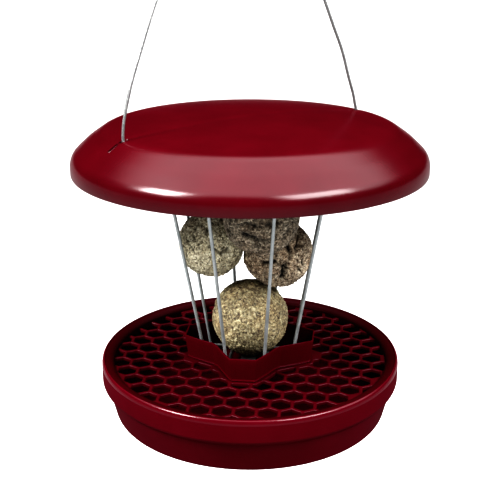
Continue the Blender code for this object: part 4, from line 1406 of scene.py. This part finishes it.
def makeBalls():
    noise.seed_set(noiseSeed)
    fits = [fittedBall(f"suet_ball_{number + 1}") for number in range(4)]
    wires = [(wirePoint(n, cageLook["low"]), wirePoint(n, cageLook["high"])) for n in range(8)]
    for number, (look, (centre, radius)) in enumerate(zip(ballLooks, fits)):
        shape = bmesh.new()
        bmesh.ops.create_icosphere(shape, subdivisions=seedLook["detail"], radius=1.0)
        shift = Vector((look["seed"] * 1.7, look["seed"] * 0.9, look["seed"] * 2.3))
        ways = np.array([vert.co for vert in shape.verts])
        ways /= np.linalg.norm(ways, axis=1)[:, None]
        rise = np.zeros(len(ways))
        grain = np.zeros(len(ways))
        between = np.zeros(len(ways))
        warped = ways.copy()
        for at, way in enumerate(ways):
            spot = Vector(way) * radius
            lump = noise.fractal(spot * seedLook["lumps"] + shift, 1.0, 2.0, 3)
            warp = noise.noise_vector(spot * 260 + shift)
            gaps, seeds = noise.voronoi(spot * seedLook["seeds"] + shift + 0.5 * warp)
            seed = min(1.0, (gaps[1] - gaps[0]) * 1.9)
            crumb = noise.noise(spot * seedLook["crumbs"] + shift)
            high = seedLook["lumpDepth"] * lump + seedLook["seedDepth"] * (seed - 0.75)
            rise[at] = look["rough"] * high + seedLook["crumbDepth"] * crumb
            grain[at] = (seeds[0].x * 12.9898 + seeds[0].y * 78.233 + seeds[0].z * 37.719) % 1.0
            between[at] = (1 - seed) ** 1.5
            broad = noise.noise_vector(spot * 75 + shift * 2)
            sharp = noise.noise_vector(spot * 330 + shift)
            warped[at] += 0.09 * np.array(broad) + 0.035 * np.array(sharp)
        # Painted shade between the seeds, and darker still along the cracks
        paintedShade = np.minimum(1.0, seedLook["seedGapPaintedShade"] * between * look["seedGapShade"])
        for plane, level, deep in look["seams"]:
            past = warped @ np.array(Vector(plane).normalized()) - level
            lowered = 1 - np.clip((past + 0.03) / 0.05, 0, 1)
            rise -= deep * 0.8 * lowered
        for path, width, deep in look["cracks"]:
            gap = pathGap(warped, [facing(*point) for point in path])
            split = np.exp(-(gap / width) ** 2)
            rise -= deep * split
            paintedShade = np.maximum(paintedShade, np.minimum(1.0, look["crackShade"] * split))
        reach = radius + np.minimum(rise, seedLook["mostRise"])
        for plane, level in flatsOf(centre, radius, fits):
            along = ways @ np.array(plane)
            reach = np.where(along * reach > level, level / np.maximum(along, 0.05), reach)
        places = np.array(centre) + ways * reach[:, None]
        pressByWires(places, ways, wires)
        for vert, place in zip(shape.verts, places):
            vert.co = place
        ball = shapeObject(f"suet_ball_{number + 1}_pressed", shape)
        ball.data.shade_smooth()
        ball.data.materials.append(suetLooks[number])
        for title, values in (("paintedShade", paintedShade), ("grain", grain)):
            ball.data.attributes.new(title, "FLOAT", "POINT").data.foreach_set("value", values)
        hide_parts(f"suet_ball_{number + 1}")
        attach(ball, "feeder")


makeBalls()
say("suet balls")


# Floor and soft studio light

studioLook = {
    "floorDrop": 0.55,  # below the tray
    "floorSize": 80.0,
    "floorColour": (0.30, 0.30, 0.30),
    "overhead": 5.8,
    "ambient": 0.02,
    "overheadSpread": (0.50, 1.0, 1.0),  # less than 1 is wider that way
    "overheadShift": (-0.12, 0.0, 0.0),
    "overheadEdge": (0.66, 0.92),  # of the way up, where it fades in
    "aim": (0.0, 0.0, -0.22),
}
lampLooks = {  # place, width, height and power
    "left_strip": ((-1.16, -0.62, 0.88), 0.64, 0.62, 90.0),
    "right_strip": ((0.94, -0.86, 0.90), 1.10, 0.66, 62.0),
    "front_fill": ((0.1, -2.9, 0.35), 3.2, 2.4, 54.0),
}


def makeStudio():
    floorZ = rimZ - trayLook["depth"] - studioLook["floorDrop"]
    half = studioLook["floorSize"] / 2
    points = [(x * half, y * half, floorZ) for x, y in ((-1, -1), (1, -1), (1, 1), (-1, 1))]
    made, tree, shader = newMaterial("pale_floor")
    shader.inputs["Base Color"].default_value = (*studioLook["floorColour"], 1.0)
    shader.inputs["Roughness"].default_value = 0.95
    shader.inputs["Specular IOR Level"].default_value = 0.0
    floor = addMesh("floor", points, [(0, 1, 2, 3)], made, smooth=False)

    # A broad soft light overhead, wider from left to right, and little from the sides
    world = bpy.data.worlds.new("studio")
    bpy.context.scene.world = world
    world.use_nodes = True
    tree = world.node_tree
    back = tree.nodes["Background"]
    place = tree.nodes.new("ShaderNodeTexCoord").outputs["Generated"]
    narrowed = addNode(tree, "ShaderNodeMapping", {
        "Scale": studioLook["overheadSpread"], "Location": studioLook["overheadShift"]})
    tree.links.new(place, narrowed.inputs["Vector"])
    way = addNode(tree, "ShaderNodeVectorMath", operation="NORMALIZE")
    tree.links.new(narrowed.outputs["Vector"], way.inputs[0])
    parts = tree.nodes.new("ShaderNodeSeparateXYZ")
    tree.links.new(way.outputs["Vector"], parts.inputs["Vector"])
    fadeLow, fadeHigh = studioLook["overheadEdge"]
    up = addNode(tree, "ShaderNodeMapRange", {
        "From Min": fadeLow, "From Max": fadeHigh, "To Min": studioLook["ambient"],
        "To Max": studioLook["overhead"]}, interpolation_type="SMOOTHSTEP")
    tree.links.new(parts.outputs["Z"], up.inputs["Value"])
    tree.links.new(up.outputs["Result"], back.inputs["Strength"])
    back.inputs["Color"].default_value = (1.0, 1.0, 1.0, 1.0)

    aim = Vector(studioLook["aim"])
    for name, (place, width, height, power) in lampLooks.items():
        data = bpy.data.lights.new(name, "AREA")
        data.shape = "RECTANGLE"
        data.size, data.size_y = width, height
        data.energy = power
        lamp = newObject(name, data)
        lamp.location = place
        lamp.rotation_euler = (aim - Vector(place)).to_track_quat("-Z", "Y").to_euler()
        if name == "front_fill":
            lamp.visible_glossy = False  # so that it leaves no grey sheen on the roof's skirt


makeStudio()
bpy.context.scene.view_settings.view_transform = "Standard"
bpy.context.scene.view_settings.look = "Very High Contrast"
say("studio")
